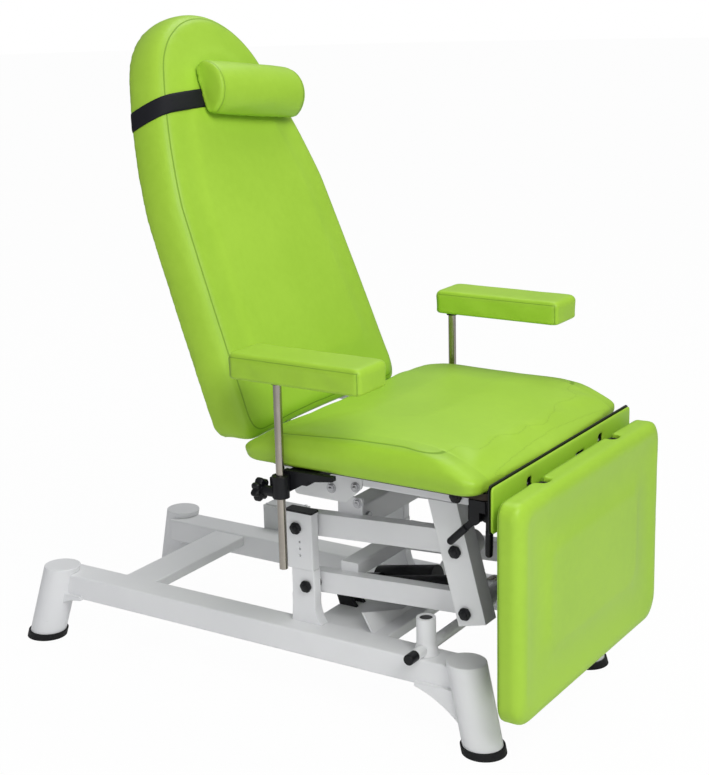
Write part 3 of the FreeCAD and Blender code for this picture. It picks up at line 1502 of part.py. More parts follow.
def levers():
    # The hanger is a short roof under the seat with three cheeks; each lever turns between two of them
    y0 = -frame_outer_y
    depth = hanger_cheek + 2 * (hanger_cheek + hanger_slot)
    top = frame_top_z - hanger_drop
    roof = box(back_lever_x - hanger_radius, leg_lever_x + hanger_radius, y0 - depth, y0,
               top - hanger_roof, top)
    pieces = [rounded(roof, hanger_edge, z_axis)]
    centres = []
    for index, x in enumerate((leg_lever_x, back_lever_x)):
        face = y0 - index * (hanger_cheek + hanger_slot)
        for outer in (face, face - hanger_cheek - hanger_slot):
            pieces.append(box(x - hanger_radius, x + hanger_radius, outer - hanger_cheek, outer,
                              lever_pivot_z, top - hanger_roof / 2))
            pieces.append(across(hanger_radius, x, lever_pivot_z, outer - hanger_cheek, outer))
        centre = face - hanger_cheek - hanger_slot / 2
        half = hanger_slot / 2
        pieces.append(across(lever_pin_radius, x, lever_pivot_z, centre - half, centre + half))
        centres.append(centre)
    keep("lever_housing", joined(pieces))
    keep("backrest_lever", lever(back_lever_x, lever_pivot_z, centres[1], -back_lever_reach,
                                 -back_lever_drop))
    keep("leg_rest_lever", lever(leg_lever_x, lever_pivot_z, centres[0], -leg_lever_reach,
                                 -leg_lever_drop))


def lever(x, z, centre, reach_x, reach_z):
    y0 = centre - lever_thickness / 2
    y1 = centre + lever_thickness / 2
    end = vector(x + reach_x, centre, z + reach_z)
    eye = across(lever_eye_radius, x, z, y0, y1)
    arm = bar(x, z, end.x, end.z, lever_arm_half_width, y0 + lever_arm_inset, y1 - lever_arm_inset)
    grip_start = vector(x + reach_x * lever_grip_share, centre, z + reach_z * lever_grip_share)
    grip = rod(lever_grip_radius, grip_start, end)
    tip = Part.makeSphere(lever_grip_radius, end)
    hole = across(lever_pin_radius + running_gap, x, z, y0 - cut_overrun, y1 + cut_overrun)
    return joined([eye, arm, grip, tip]).cut(hole)


def export():
    compound = Part.makeCompound([solid for solids in parts.values() for solid in solids])
    bounds = compound.optimalBoundingBox(False)
    shift = -(bounds.XMin + bounds.XMax) / 2
    os.makedirs("parts", exist_ok=True)
    for name, solids in parts.items():
        moved = []
        for solid in solids:
            copy = solid.copy()
            copy.translate(vector(shift, 0, 0))
            moved.append(copy)
        shape = moved[0] if len(moved) == 1 else Part.makeCompound(moved)
        shape.exportStep(os.path.join("parts", name + ".step"))
    print("shift", round(shift, 3), "nodes", len(parts))
    print("box", [round(value, 2) for value in (bounds.XMin + shift, bounds.XMax + shift, bounds.YMin,
                                                bounds.YMax,
                                                bounds.ZMin, bounds.ZMax)])


base()
uprights()
control_box()
links()
actuator()
seat()
flap()
backrest()
keep("head_pillow", pillow())
keep("pillow_strap", strap())
leg_rest()
gas_springs()
arms()
levers()
export()
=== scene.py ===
import json
import math
import bmesh
import bpy
import numpy as np
from mathutils import Matrix, Vector
from mathutils.bvhtree import BVHTree


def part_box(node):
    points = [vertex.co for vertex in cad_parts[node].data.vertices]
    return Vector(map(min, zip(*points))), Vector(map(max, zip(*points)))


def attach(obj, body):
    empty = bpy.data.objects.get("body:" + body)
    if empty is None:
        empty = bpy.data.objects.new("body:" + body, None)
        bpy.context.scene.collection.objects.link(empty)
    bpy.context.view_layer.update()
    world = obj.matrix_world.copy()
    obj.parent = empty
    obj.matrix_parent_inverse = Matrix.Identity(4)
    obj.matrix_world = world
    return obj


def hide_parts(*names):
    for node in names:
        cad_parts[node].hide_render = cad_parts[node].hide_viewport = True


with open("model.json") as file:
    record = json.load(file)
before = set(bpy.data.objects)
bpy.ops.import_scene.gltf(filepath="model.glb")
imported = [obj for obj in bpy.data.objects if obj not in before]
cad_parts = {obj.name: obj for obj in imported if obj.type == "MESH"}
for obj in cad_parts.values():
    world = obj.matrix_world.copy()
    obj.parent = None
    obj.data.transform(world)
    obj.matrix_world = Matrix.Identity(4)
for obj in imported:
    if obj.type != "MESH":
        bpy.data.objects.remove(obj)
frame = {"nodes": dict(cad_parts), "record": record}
nodes = frame["nodes"]
scene = bpy.context.scene
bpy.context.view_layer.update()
chairShift = -0.036825  # the CAD sizes are about the middle of the base; this brings them into the frame
print("stage: frame loaded,", len(nodes), "nodes")

# Camera and light

view = {
    "place": (1.77816, -2.594, 1.417),
    "azimuth": 33.0,
    "down": 15.02,
    "roll": -1.414,
    "lens": 74.88,
}


def setCamera():
    # A camera that stands, looks and rolls as the view says
    turn, down, roll = (math.radians(view[k]) for k in ("azimuth", "down", "roll"))
    back = Vector((math.sin(turn) * math.cos(down), -math.cos(turn) * math.cos(down), math.sin(down)))
    right = Vector((math.cos(turn), math.sin(turn), 0))
    up = back.cross(right)
    side = right * math.cos(roll) + up * math.sin(roll)
    head = up * math.cos(roll) - right * math.sin(roll)
    data = bpy.data.cameras.new("camera")
    data.sensor_width = 36
    data.lens = view["lens"]
    data.clip_start = 0.05
    data.clip_end = 60
    camera = bpy.data.objects.new("camera", data)
    scene.collection.objects.link(camera)
    camera.matrix_world = Matrix.Translation(view["place"]) @ Matrix((side, head, back)).transposed().to_4x4()
    scene.camera = camera


lamps = [
    # name, place, aim, size, watts
    ("keyLamp", (2.7, -1.5, 3.3), (0.1, 0.0, 0.5), 2.4, 106),
    ("fillLamp", (1.3, -3.3, 1.7), (0.0, 0.0, 0.5), 2.6, 18),
    ("topLamp", (-0.3, 1.6, 3.8), (0.0, 0.0, 0.7), 2.2, 44),
]


def setLamps():
    # Round area lamps, each facing its aim
    for name, place, aim, size, watts in lamps:
        data = bpy.data.lights.new(name, "AREA")
        data.shape = "DISK"
        data.size = size
        data.energy = watts
        lamp = bpy.data.objects.new(name, data)
        scene.collection.objects.link(lamp)
        toLamp = Vector(place) - Vector(aim)
        lamp.matrix_world = Matrix.Translation(place) @ toLamp.to_track_quat("Z", "Y").to_matrix().to_4x4()


# Shader sums

class Wire:
    # One socket of a node tree; sums on it add Math nodes

    def __init__(self, tree, socket=None):
        self.tree = tree
        self.socket = socket

    def node(self, kind, settings=None, values=None, out=0):
        made = self.tree.nodes.new(kind)
        for name, value in (settings or {}).items():
            if name == "stops":
                ramp = made.color_ramp
                while len(ramp.elements) < len(value):
                    ramp.elements.new(0.5)
                for element, (place, colour) in zip(ramp.elements, value):
                    element.position = place
                    element.color = (*colour, 1)
            else:
                setattr(made, name, value)
        for name, value in (values or {}).items():
            if isinstance(value, Wire):
                self.tree.links.new(value.socket, made.inputs[name])
            else:
                made.inputs[name].default_value = value
        return Wire(self.tree, made.outputs[out])

    def sum(self, operation, *values):
        return self.node("ShaderNodeMath", {"operation": operation}, dict(enumerate(values)))

    def __add__(self, other):
        return self.sum("ADD", self, other)

    def __radd__(self, other):
        return self.sum("ADD", other, self)

    def __sub__(self, other):
        return self.sum("SUBTRACT", self, other)

    def __rsub__(self, other):
        return self.sum("SUBTRACT", other, self)

    def __mul__(self, other):
        return self.sum("MULTIPLY", self, other)

    def size(self):
        return self.sum("ABSOLUTE", self)

    def wave(self, length):
        # Sine along the value, one turn for each length
        return self.sum("SINE", self * (math.tau / length))

    def between(self, low, high, start=0.0, end=1.0):
        # Eases from start to end as the value goes from low to high
        return self.node("ShaderNodeMapRange", {"interpolation_type": "SMOOTHSTEP"},
                         {0: self, 1: low, 2: high, 3: start, 4: end})

    def noise(self, scale, detail=2.0, rough=0.5):
        return self.node("ShaderNodeTexNoise", None,
                         {"Vector": self, "Scale": scale, "Detail": detail, "Roughness": rough})

    def stretched(self, x, y, z):
        return self.node("ShaderNodeMapping", None, {"Vector": self, "Scale": (x, y, z)})

    def split(self):
        made = self.node("ShaderNodeSeparateXYZ", None, {0: self})
        return [Wire(self.tree, out) for out in made.socket.node.outputs]

    def mixed(self, first, second):
        return self.node("ShaderNodeMix", {"data_type": "RGBA"}, {0: self, 6: first, 7: second}, 2)


def colour(r, g, b):
    return (r, g, b, 1)


def finish(name, constants, paint):
    # A material whose varying sockets come from paint(place, base)
    material = bpy.data.materials.new(name)
    material.use_nodes = True
    tree = material.node_tree
    shader = tree.nodes["Principled BSDF"]
    for key, value in constants.items():
        shader.inputs[key].default_value = value
    place = Wire(tree).node("ShaderNodeTexCoord", None, None, "Object")
    for key, wire in paint(place).items():
        tree.links.new(wire.socket, shader.inputs[key])
    return material


def relief(height, strength=1.0, normal=None):
    # Height in millimetres to a surface normal
    values = {"Height": height, "Distance": 0.001, "Strength": strength}
    if normal is not None:
        values["Normal"] = normal
    return height.node("ShaderNodeBump", None, values)


def softEdge(place, radius):
    return place.node("ShaderNodeBevel", {"samples": 4}, {"Radius": radius})


vinyl = {
    "lit": colour(0.380, 0.622, 0.050),
    "deep": colour(0.340, 0.574, 0.040),
    "seamShade": colour(0.110, 0.225, 0.014),
    "rough": 0.44,
    "grainScale": 950.0,
    "grainHeight": 0.010,
    "waveHeight": 0.40,
    "puckerHeight": 0.16,
    "seamDepth": 0.45,
    "seamWidth": 0.0010,
    "seamReach": 0.009,
}


def paintVinyl(place):
    # Smooth coated fabric with a fine leather grain, slow waves and sewn seams
    seam = place.node("ShaderNodeAttribute", {"attribute_name": "seam"}, None, "Fac").size()
    line = seam.between(vinyl["seamWidth"] * 0.25, vinyl["seamWidth"], 1.0, 0.0)
    near = seam.between(0.001, vinyl["seamReach"], 1.0, 0.0)
    tone = place.noise(2.6, 3.0, 0.6)
    mottle = place.noise(60.0, 4.0, 0.6)
    body = (tone * 0.75 + mottle * 0.25).between(0.35, 0.65).mixed(vinyl["deep"], vinyl["lit"])
    body = (near * 0.16).mixed(body, vinyl["seamShade"])
    body = (line * 0.62).mixed(body, vinyl["seamShade"])
    grain = place.node("ShaderNodeTexVoronoi", {"feature": "SMOOTH_F1"},
                       {"Vector": place, "Scale": vinyl["grainScale"]})
    slow = place.noise(9.0, 2.0, 0.45)
    pucker = place.noise(210.0, 1.0, 0.4)
    height = grain * vinyl["grainHeight"] + slow * vinyl["waveHeight"]
    height = height + pucker * near * vinyl["puckerHeight"] - line * vinyl["seamDepth"]
    rough = vinyl["rough"] + (tone - 0.5) * 0.10 + (mottle - 0.5) * 0.08 + line * 0.25
    return {"Base Color": body, "Roughness": rough, "Normal": relief(height)}


powder = {
    "white": colour(0.875, 0.877, 0.886),
    "shade": colour(0.84, 0.843, 0.856),
    "dirt": colour(0.34, 0.33, 0.31),
    "rough": 0.34,
    "peelHeight": 0.016,
    "scuffTop": 0.09,
    "edge": 0.0022,
}


def paintPowder(place):
    # White powder coat: orange peel, rounded edges and a trace of scuffs near the floor
    tone = place.noise(5.0, 3.0, 0.6)
    scuff = place.stretched(1.0, 1.0, 3.0).noise(70.0, 6.0, 0.7)
    low = place.split()[2].between(0.0, powder["scuffTop"], 1.0, 0.12)
    mark = scuff.between(0.63, 0.78) * low
    body = tone.between(0.3, 0.7).mixed(powder["shade"], powder["white"])
    body = (mark * 0.30).mixed(body, powder["dirt"])
    peel = place.noise(420.0, 1.5, 0.5)
    return {"Base Color": body, "Roughness": powder["rough"] + (tone - 0.5) * 0.12 + mark * 0.3,
            "Normal": relief(peel * powder["peelHeight"], 1.0, softEdge(place, powder["edge"]))}


plastics = {
    # slot: material's name, colour, sheen, roughness, grain scale, grain height
    "black_plastic": ("blackPlastic", colour(0.0045, 0.0048, 0.006), 0.3, 0.40, 900.0, 0.012),
    "black_rubber": ("blackRubber", colour(0.0065, 0.0065, 0.007), 0.3, 0.62, 500.0, 0.03),
    "black_metal": ("blackPowderCoat", colour(0.005, 0.0052, 0.0065), 0.3, 0.44, 420.0, 0.02),
    "grey_plastic": ("greyPlastic", colour(0.60, 0.61, 0.61), 0.5, 0.44, 700.0, 0.015),
}
plasticEdge = 0.0010


def paintPlastic(base, rough, grainScale, grainHeight):
    # Moulded or coated surface with a fine grain, slightly lighter in patches
    def paint(place):
        tone = place.noise(24.0, 3.0, 0.6)
        grain = place.noise(grainScale, 2.0, 0.6)
        lighter = tuple(c * (1 + 0.9 * (1 - c)) if c < 0.1 else c * 1.05 for c in base[:3])
        body = tone.between(0.35, 0.75).mixed(base, colour(*lighter))
        return {"Base Color": body, "Roughness": rough + (grain - 0.5) * 0.12 + (tone - 0.5) * 0.1,
                "Normal": relief(grain * grainHeight, 1.0, softEdge(place, plasticEdge))}
    return paint


metals = {
    # slot: material's name, colour, roughness, the axis that the brush marks follow
    # Painted reflection: the stainless colour is darker and browner than bare steel, standing in for the
    # brownish reflection along the posts
    "stainless": ("stainlessSteel", colour(0.46, 0.42, 0.37), 0.20, 2),
    "zinc": ("zincPlate", colour(0.62, 0.62, 0.64), 0.32, 0),
}
metalEdge = 0.0008


def paintMetal(base, rough, along):
    # Metal brushed along one axis, with faint handling marks
    def paint(place):
        scale = [900.0 if axis != along else 14.0 for axis in range(3)]
        brush = place.stretched(*scale).noise(1.0, 2.0, 0.5)
        smear = place.noise(18.0, 3.0, 0.6)
        darker = tuple(c * 0.72 for c in base[:3])
        body = (brush * 0.5 + smear * 0.5).between(0.3, 0.7).mixed(colour(*darker), base)
        return {"Base Color": body, "Roughness": rough + (brush - 0.5) * 0.16 + (smear - 0.5) * 0.12,
                "Normal": relief(brush * 0.006, 1.0, softEdge(place, metalEdge))}
    return paint


board = {
    "film": colour(0.007, 0.007, 0.008),
    "worn": colour(0.016, 0.016, 0.018),
    "ply": colour(0.075, 0.050, 0.030),
    "rough": 0.50,
    "layer": 0.0014,
    "layerHeight": 0.02,
    "mesh": 0.0022,
    "meshHeight": 0.012,
    "edge": 0.0012,
}


def paintBoard(place):
    # Film-faced plywood: a fine wire print on the faces, thin layers on the sawn rims
    x, y, z = place.split()
    facing = place.node("ShaderNodeNewGeometry", None, None, "Normal").split()
    flat = (facing[2].size() + facing[0].size()).between(0.55, 0.8)
    mesh = x.wave(board["mesh"]) + y.wave(board["mesh"])
    layers = z.wave(board["layer"])
    tone = place.noise(12.0, 3.0, 0.6)
    film = tone.between(0.35, 0.75).mixed(board["film"], board["worn"])
    rim = layers.between(-0.2, 0.6).mixed(board["film"], board["ply"])
    body = flat.mixed(rim, film)
    height = mesh * flat * board["meshHeight"] + layers * (1.0 - flat) * board["layerHeight"]
    return {"Base Color": body, "Roughness": board["rough"] + (tone - 0.5) * 0.2 + (1.0 - flat) * 0.2,
            "Normal": relief(height, 1.0, softEdge(place, board["edge"]))}


strapWeave = {
    "lit": colour(0.016, 0.017, 0.022),
    "deep": colour(0.004, 0.004, 0.006),
    "rough": 0.72,
    "rib": 0.0014,
    "pick": 0.0011,
    "weaveHeight": 0.10,
    "fuzzHeight": 0.03,
}


def paintStrap(place):
    # Woven elastic: rubber ribs along the band, crossed by fine picks
    across = place.node("ShaderNodeAttribute", {"attribute_name": "across"}, None, "Fac")
    around = place.node("ShaderNodeAttribute", {"attribute_name": "around"}, None, "Fac")
    rib = across.wave(strapWeave["rib"])
    weave = rib * 0.5 + around.wave(strapWeave["pick"]) * rib * 0.4
    fuzz = place.noise(900.0, 2.0, 0.6)
    body = (weave * 0.3 + fuzz * 0.6).between(0.1, 0.7).mixed(strapWeave["deep"], strapWeave["lit"])
    height = weave * strapWeave["weaveHeight"] + fuzz * strapWeave["fuzzHeight"]
    return {"Base Color": body, "Roughness": strapWeave["rough"] + (fuzz - 0.5) * 0.2,
            "Normal": relief(height)}


def setMaterials():
    # Every CAD piece gets the material of its slot, but the pivot bolts are black like their caps
    made = {
        "vinyl": finish("limeVinyl", {"Specular IOR Level": 0.32}, paintVinyl),
        "frame_paint": finish("whitePowderCoat", {"Specular IOR Level": 0.5}, paintPowder),
        "laminate": finish("filmFacedBoard", {"Specular IOR Level": 0.3}, paintBoard),
        "strap": finish("elasticStrap", {"Specular IOR Level": 0.25}, paintStrap),
    }
    for slot, (name, base, sheen, *rest) in plastics.items():
        made[slot] = finish(name, {"Specular IOR Level": sheen}, paintPlastic(base, *rest))
    for slot, (name, *rest) in metals.items():
        made[slot] = finish(name, {"Metallic": 1.0}, paintMetal(*rest))
    slotOf = {part["node"]: part["material_slot"] for part in frame["record"]["subparts"]}
    for name, node in nodes.items():
        node.data.materials.clear()
        node.data.materials.append(made[slotOf[name]])
    for name in ("rear_pivot_bolts", "front_pivot_bolts"):
        nodes[name].data.materials[0] = made["black_plastic"]
    return made


stage = {
    "floorColour": colour(0.86, 0.86, 0.86),
    "floorFade": 0.975,
    "floorRadius": 24,
    "worldColour": colour(0.95, 0.97, 1.0),
    "worldLight": 0.31,
}


def emptied(owner):
    # The owner's node tree, cleared, as a start for new nodes, and whether a ray comes from the camera
    owner.use_nodes = True
    owner.node_tree.nodes.clear()
    start = Wire(owner.node_tree)
    path = start.node("ShaderNodeLightPath").socket.node.outputs
    return start, Wire(owner.node_tree, path["Is Camera Ray"])


def showSurface(shader, kind):
    # The finished shader goes to the tree's output
    output = shader.tree.nodes.new(kind)
    shader.tree.links.new(shader.socket, output.inputs["Surface"])


def setStage():
    # Plain pale floor that fades into a white surround and keeps a soft shadow
    white = colour(1, 1, 1)
    paint = bpy.data.materials.new("studioFloor")
    start, seen = emptied(paint)
    matt = start.node("ShaderNodeBsdfDiffuse", None, {"Color": stage["floorColour"]})
    glow = start.node("ShaderNodeEmission", None, {"Color": white, "Strength": 1.0})
    showSurface(start.node("ShaderNodeMixShader", None, {0: seen * stage["floorFade"], 1: matt, 2: glow}),
                "ShaderNodeOutputMaterial")
    bpy.ops.mesh.primitive_circle_add(vertices=96, radius=stage["floorRadius"], fill_type="NGON",
                                      location=(0, 0, 0))
    floor = bpy.context.object
    floor.name = "studioFloor"
    floor.data.materials.append(paint)
    world = bpy.data.worlds.new("studio")
    scene.world = world
    start, seen = emptied(world)
    light = {"Color": stage["worldColour"], "Strength": stage["worldLight"]}
    lit = start.node("ShaderNodeBackground", None, light)
    plain = start.node("ShaderNodeBackground", None, {"Color": white, "Strength": 1.0})
    showSurface(start.node("ShaderNodeMixShader", None, {0: seen, 1: lit, 2: plain}), "ShaderNodeOutputWorld")
    scene.view_settings.view_transform = "Standard"


setCamera()
setLamps()
paints = setMaterials()
setStage()
print("stage: camera, light and materials")


# Soft pieces

def newPiece(name, mesh, slot):
    piece = bpy.data.objects.new(name, mesh)
    scene.collection.objects.link(piece)
    mesh.materials.clear()
    mesh.materials.append(paints[slot])
    return piece


def settle(piece):
    # Turns the modified shape into a plain mesh
    bpy.context.view_layer.update()
    shown = piece.evaluated_get(bpy.context.evaluated_depsgraph_get())
    mesh = bpy.data.meshes.new_from_object(shown)
    piece.modifiers.clear()
    piece.data = mesh
    return piece


def points(mesh):
    found = np.empty(len(mesh.vertices) * 3)
    mesh.vertices.foreach_get("co", found)
    return found.reshape(-1, 3)


def normals(mesh):
    found = np.empty(len(mesh.vertices) * 3)
    mesh.vertices.foreach_get("normal", found)
    return found.reshape(-1, 3)


def setPoints(mesh, place):
    mesh.vertices.foreach_set("co", place.ravel())
    mesh.update()


weldReach = 0.00002


def coverFrom(name, node, voxel, tighten=0.0, held=None, soften=3, crisp=False):
    # Even, closed cover made from the CAD solid's own form, drawn in a little before it is filled
    mesh = nodes[node].data.copy()
    work = bmesh.new()
    work.from_mesh(mesh)
    bmesh.ops.remove_doubles(work, verts=work.verts, dist=weldReach)
    bmesh.ops.recalc_face_normals(work, faces=work.faces)
    work.to_mesh(mesh)
    work.free()
    piece = newPiece(name, mesh, "vinyl")
    remesh = piece.modifiers.new("even", "REMESH")
    remesh.mode = "VOXEL"
    remesh.voxel_size = voxel
    smooth = piece.modifiers.new("soften", "SMOOTH")
    smooth.factor = 0.5
    smooth.iterations = soften
    if crisp:
        # Smoothed points go back to the nearest place on the CAD form, which keeps its edges
        form = bpy.data.objects.new(name + "Form", mesh.copy())
        scene.collection.objects.link(form)
        snap = piece.modifiers.new("snap", "SHRINKWRAP")
        snap.target = form
        snap.wrap_method = "NEAREST_SURFACEPOINT"
        ease = piece.modifiers.new("ease", "SMOOTH")
        ease.factor = 0.5
        ease.iterations = 1
    settle(piece)
    if crisp:
        bpy.data.objects.remove(form)
    place = points(piece.data)
    free = np.ones(len(place), bool) if held is None else ~held(place)
    setPoints(piece.data, place - normals(piece.data) * tighten * free[:, None])
    return piece


fabric = {
    "quality": 5,
    "mass": 0.3,
    "stiff": 18.0,
    "shearShare": 0.6,
    "bend": 10.0,
    "shrink": -0.006,
    "frames": 20,
    "sink": 0.0004,
    "slideShare": 0.5,
    "smoothing": 14,
    "quickShare": 0.9,
}


def fill(piece, pressure, cap, held):
    # Air pressure under the cover, held at the rows that are sewn or glued down
    rest = points(piece.data)
    group = piece.vertex_groups.new(name="held")
    group.add([int(i) for i in np.nonzero(held(rest))[0]], 1.0, "REPLACE")
    cloth = piece.modifiers.new("fill", "CLOTH")
    cloth.settings.quality = fabric["quality"]
    cloth.settings.mass = fabric["mass"]
    cloth.settings.tension_stiffness = fabric["stiff"]
    cloth.settings.compression_stiffness = fabric["stiff"]
    cloth.settings.shear_stiffness = fabric["stiff"] * fabric["shearShare"]
    cloth.settings.bending_stiffness = fabric["bend"]
    cloth.settings.shrink_min = fabric["shrink"]
    cloth.settings.use_pressure = True
    cloth.settings.uniform_pressure_force = pressure
    cloth.settings.effector_weights.gravity = 0
    cloth.settings.vertex_group_mass = "held"
    cloth.point_cache.frame_start = 1
    cloth.point_cache.frame_end = fabric["frames"]
    for number in range(1, fabric["frames"] + 1):
        scene.frame_set(number)
    shown = piece.evaluated_get(bpy.context.evaluated_depsgraph_get())
    moved = np.empty(len(rest) * 3)
    shown.data.vertices.foreach_get("co", moved)
    step = moved.reshape(-1, 3) - rest
    out = normals(piece.data)
    along = (step * out).sum(axis=1, keepdims=True)
    slide = step - out * along
    length = np.linalg.norm(slide, axis=1, keepdims=True)
    # The foam holds the cover out, and the fabric lets it rise only so far
    part = np.minimum(1.0, cap * fabric["slideShare"] / np.maximum(length, 1e-9))
    step = out * np.clip(along, -fabric["sink"], cap) + slide * part
    piece.modifiers.clear()
    piece.vertex_groups.clear()
    scene.frame_set(1)
    # Each point's step is averaged with its neighbours' steps, which takes out the creases
    pairs = np.empty(len(piece.data.edges) * 2, int)
    piece.data.edges.foreach_get("vertices", pairs)
    first, second = pairs.reshape(-1, 2).T
    ends = np.concatenate([first, second])
    others = np.concatenate([second, first])
    count = np.maximum(np.bincount(ends, minlength=len(rest)), 1)
    for _ in range(fabric["smoothing"]):
        mean = np.stack([np.bincount(ends, step[others, k], len(rest)) / count for k in range(3)], 1)
        step = (step + mean) / 2
    setPoints(piece.data, rest + step)
    print("stage: filled", piece.name, "most", round(float(along.max()) * 1000, 1), "mm")


def sewn(piece, distance, groove=0.0008, spread=0.0045, rounds=1):
    # Subdivides, notes how far every point is from its seam, and draws the cover in along it
    smooth = piece.modifiers.new("relax", "SMOOTH")
    smooth.factor = 0.5
    smooth.iterations = 2
    split = piece.modifiers.new("split", "SUBSURF")
    split.levels = split.render_levels = rounds
    settle(piece)
    mesh = piece.data
    place = points(mesh)
    away = distance(place)
    place = place - normals(mesh) * (groove * np.exp(-(away / spread) ** 2))[:, None]
    setPoints(mesh, place)
    note = mesh.attributes.get("seam") or mesh.attributes.new("seam", "FLOAT", "POINT")
    note.data.foreach_set("value", distance(place).astype(np.float32))
    mesh.shade_smooth()


def within(piece, low, high, room):
    # Keeps the cover inside its solid's box, widened by the room below and above
    below, above = room
    setPoints(piece.data, np.clip(points(piece.data), np.array(low) - below, np.array(high) + above))


seat = {
    "voxel": 0.0065,
    "tighten": 0.0028,
    "pressure": 4.0,
    "cap": 0.0036,
    "glued": 0.010,
    "room": ((0.002, 0.004, 0.0), (0.001, 0.004, 0.006)),
    # Side seam: length from the base's middle, then height
    "seam": ((0.060, 0.567), (0.120, 0.570), (0.202, 0.575), (0.308, 0.579), (0.412, 0.580),
             (0.494, 0.576), (0.536, 0.565), (0.562, 0.547), (0.577, 0.528), (0.592, 0.500)),
    "seamSpan": (0.04, 0.62),
    "seamSteps": 300,
    "seamEase": 25,
    "seamFrom": 0.255,
    "plainAway": 0.02,
}


def seatSeam(place):
    # Signed distance from the eased side seam; between the two sides there is none
    along = np.linspace(*seat["seamSpan"], seat["seamSteps"])
    height = np.interp(along, *zip(*seat["seam"]))
    ease = np.hanning(seat["seamEase"])
    height = np.convolve(np.pad(height, seat["seamEase"] // 2, mode="edge"), ease / ease.sum(), mode="valid")
    slope = np.gradient(height, along)
    x = place[:, 0] - chairShift
    level = np.interp(x, along, height)
    lean = np.interp(x, along, slope)
    away = (place[:, 2] - level) / np.sqrt(1 + lean ** 2)
    centre = np.abs(place[:, 1]) < seat["seamFrom"]
    return np.where(centre, np.sign(away) * np.maximum(np.abs(away), seat["plainAway"]), away)


def makeSeat():
    low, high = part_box("seat_cushion")

    def held(place):
        return place[:, 2] < low.z + seat["glued"]

    piece = coverFrom("seatCushion", "seat_cushion", seat["voxel"], seat["tighten"], held)
    fill(piece, seat["pressure"], seat["cap"], held)
    sewn(piece, seatSeam)
    within(piece, low, high, seat["room"])
    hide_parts("seat_cushion")
    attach(piece, "seat_carrier")


back = {
    "voxel": 0.0065,
    "tighten": 0.0028,
    "pressure": 4.0,
    "cap": 0.0036,
    "glued": 0.006,
    "origin": (0.075, 0.560),
    "recline": 21.4,
    "thickness": 0.088,
    "halfWidth": 0.27,
    "seamDepth": 0.0085,
    "footHeight": 0.060,
    "footFade": 0.040,
    "footDrop": 0.0045,
    "footSide": 0.0080,
}


def backLocal(place):
    # Depth forward of the front plane, side and length along the backrest
    lean = math.radians(back["recline"])
    x = place[:, 0] - chairShift - back["origin"][0]
    z = place[:, 2] - back["origin"][1]
    depth = x * math.cos(lean) + z * math.sin(lean)
    length = z * math.cos(lean) - x * math.sin(lean)
    return np.stack([depth, place[:, 1], length], 1)


def backWorld(local):
    # The way back, from the backrest's own directions to places
    lean = math.radians(back["recline"])
    x = local[:, 0] * math.cos(lean) - local[:, 2] * math.sin(lean)
    z = local[:, 0] * math.sin(lean) + local[:, 2] * math.cos(lean)
    return np.stack([x + chairShift + back["origin"][0], local[:, 1], z + back["origin"][1]], 1)


def backSeam(place):
    return backLocal(place)[:, 0] + back["seamDepth"]


def makeBackrest():
    def held(place):
        return backLocal(place)[:, 0] < back["glued"] - back["thickness"]

    piece = coverFrom("backCushion", "backrest_cushion", back["voxel"], back["tighten"], held)
    # The filled foot sags until it rests on the seat
    local = backLocal(points(piece.data))
    low = np.clip(1.0 - local[:, 2] / back["footHeight"], 0.0, 1.0)
    front = np.clip((local[:, 0] + back["thickness"]) / back["footFade"], 0.0, 1.0)
    drop = back["footDrop"] + back["footSide"] * (local[:, 1] / back["halfWidth"]) ** 2
    local[:, 2] -= drop * (low * front)
    setPoints(piece.data, backWorld(local))
    fill(piece, back["pressure"], back["cap"], held)
    sewn(piece, backSeam)
    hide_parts("backrest_cushion")
    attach(piece, "backrest")
    return piece


leg = {
    "voxel": 0.0055,
    "tighten": 0.0024,
    "pressure": 4.0,
    "cap": 0.0032,
    "glued": 0.002,
    "room": ((0.001, 0.004, 0.004), (0.006, 0.004, 0.004)),
    "seamDepth": 0.006,
}


def makeLegRest():
    low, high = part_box("leg_rest_cushion")

    def held(place):
        return place[:, 0] < low.x + leg["seamDepth"] + leg["glued"]

    def seam(place):
        return place[:, 0] - low.x - leg["seamDepth"]

    piece = coverFrom("legRestCushion", "leg_rest_cushion", leg["voxel"], leg["tighten"], held)
    fill(piece, leg["pressure"], leg["cap"], held)
    sewn(piece, seam)
    within(piece, low, high, leg["room"])
    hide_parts("leg_rest_cushion")
    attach(piece, "leg_rest")


pad = {
    "voxel": 0.0031,
    "tighten": 0.0010,
    "soften": 2,
    "pressure": 4.0,
    "cap": 0.0018,
    "glued": 0.006,
    "room": ((0.002, 0.003, 0.0), (0.002, 0.003, 0.003)),
    "seamDrop": 0.0075,
    "seamInset": 0.008,
    "panelEdge": 0.006,
    "plainAway": 0.004,
    "groove": 0.0006,
    "spread": 0.0035,
}


def makeArmPad(side):
    low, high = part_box("arm_pad_" + side)
    middle = (low.y + high.y) / 2
    half = (high.y - low.y) / 2

    def held(place):
        return place[:, 2] < low.z + pad["glued"]

    def seam(place):
        # The side panels are sewn in: their rim runs under the top edge and down the front and rear corners
        out = np.abs(place[:, 1] - middle) - half
        ends = np.minimum(high.x - pad["seamInset"] - place[:, 0], place[:, 0] - low.x - pad["seamInset"])
        rim = np.minimum(high.z - pad["seamDrop"] - place[:, 2], ends)
        inner = np.hypot(np.minimum(rim, 0.0), out + pad["panelEdge"]) + pad["plainAway"]
        return np.where(out > -pad["panelEdge"], np.abs(rim), inner)

    piece = coverFrom("armPad" + side.capitalize(), "arm_pad_" + side, pad["voxel"], pad["tighten"], held,
                      pad["soften"], crisp=True)
    fill(piece, pad["pressure"], pad["cap"], held)
    sewn(piece, seam, pad["groove"], pad["spread"])
    within(piece, low, high, pad["room"])
    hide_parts("arm_pad_" + side)
    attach(piece, "pad_" + side)


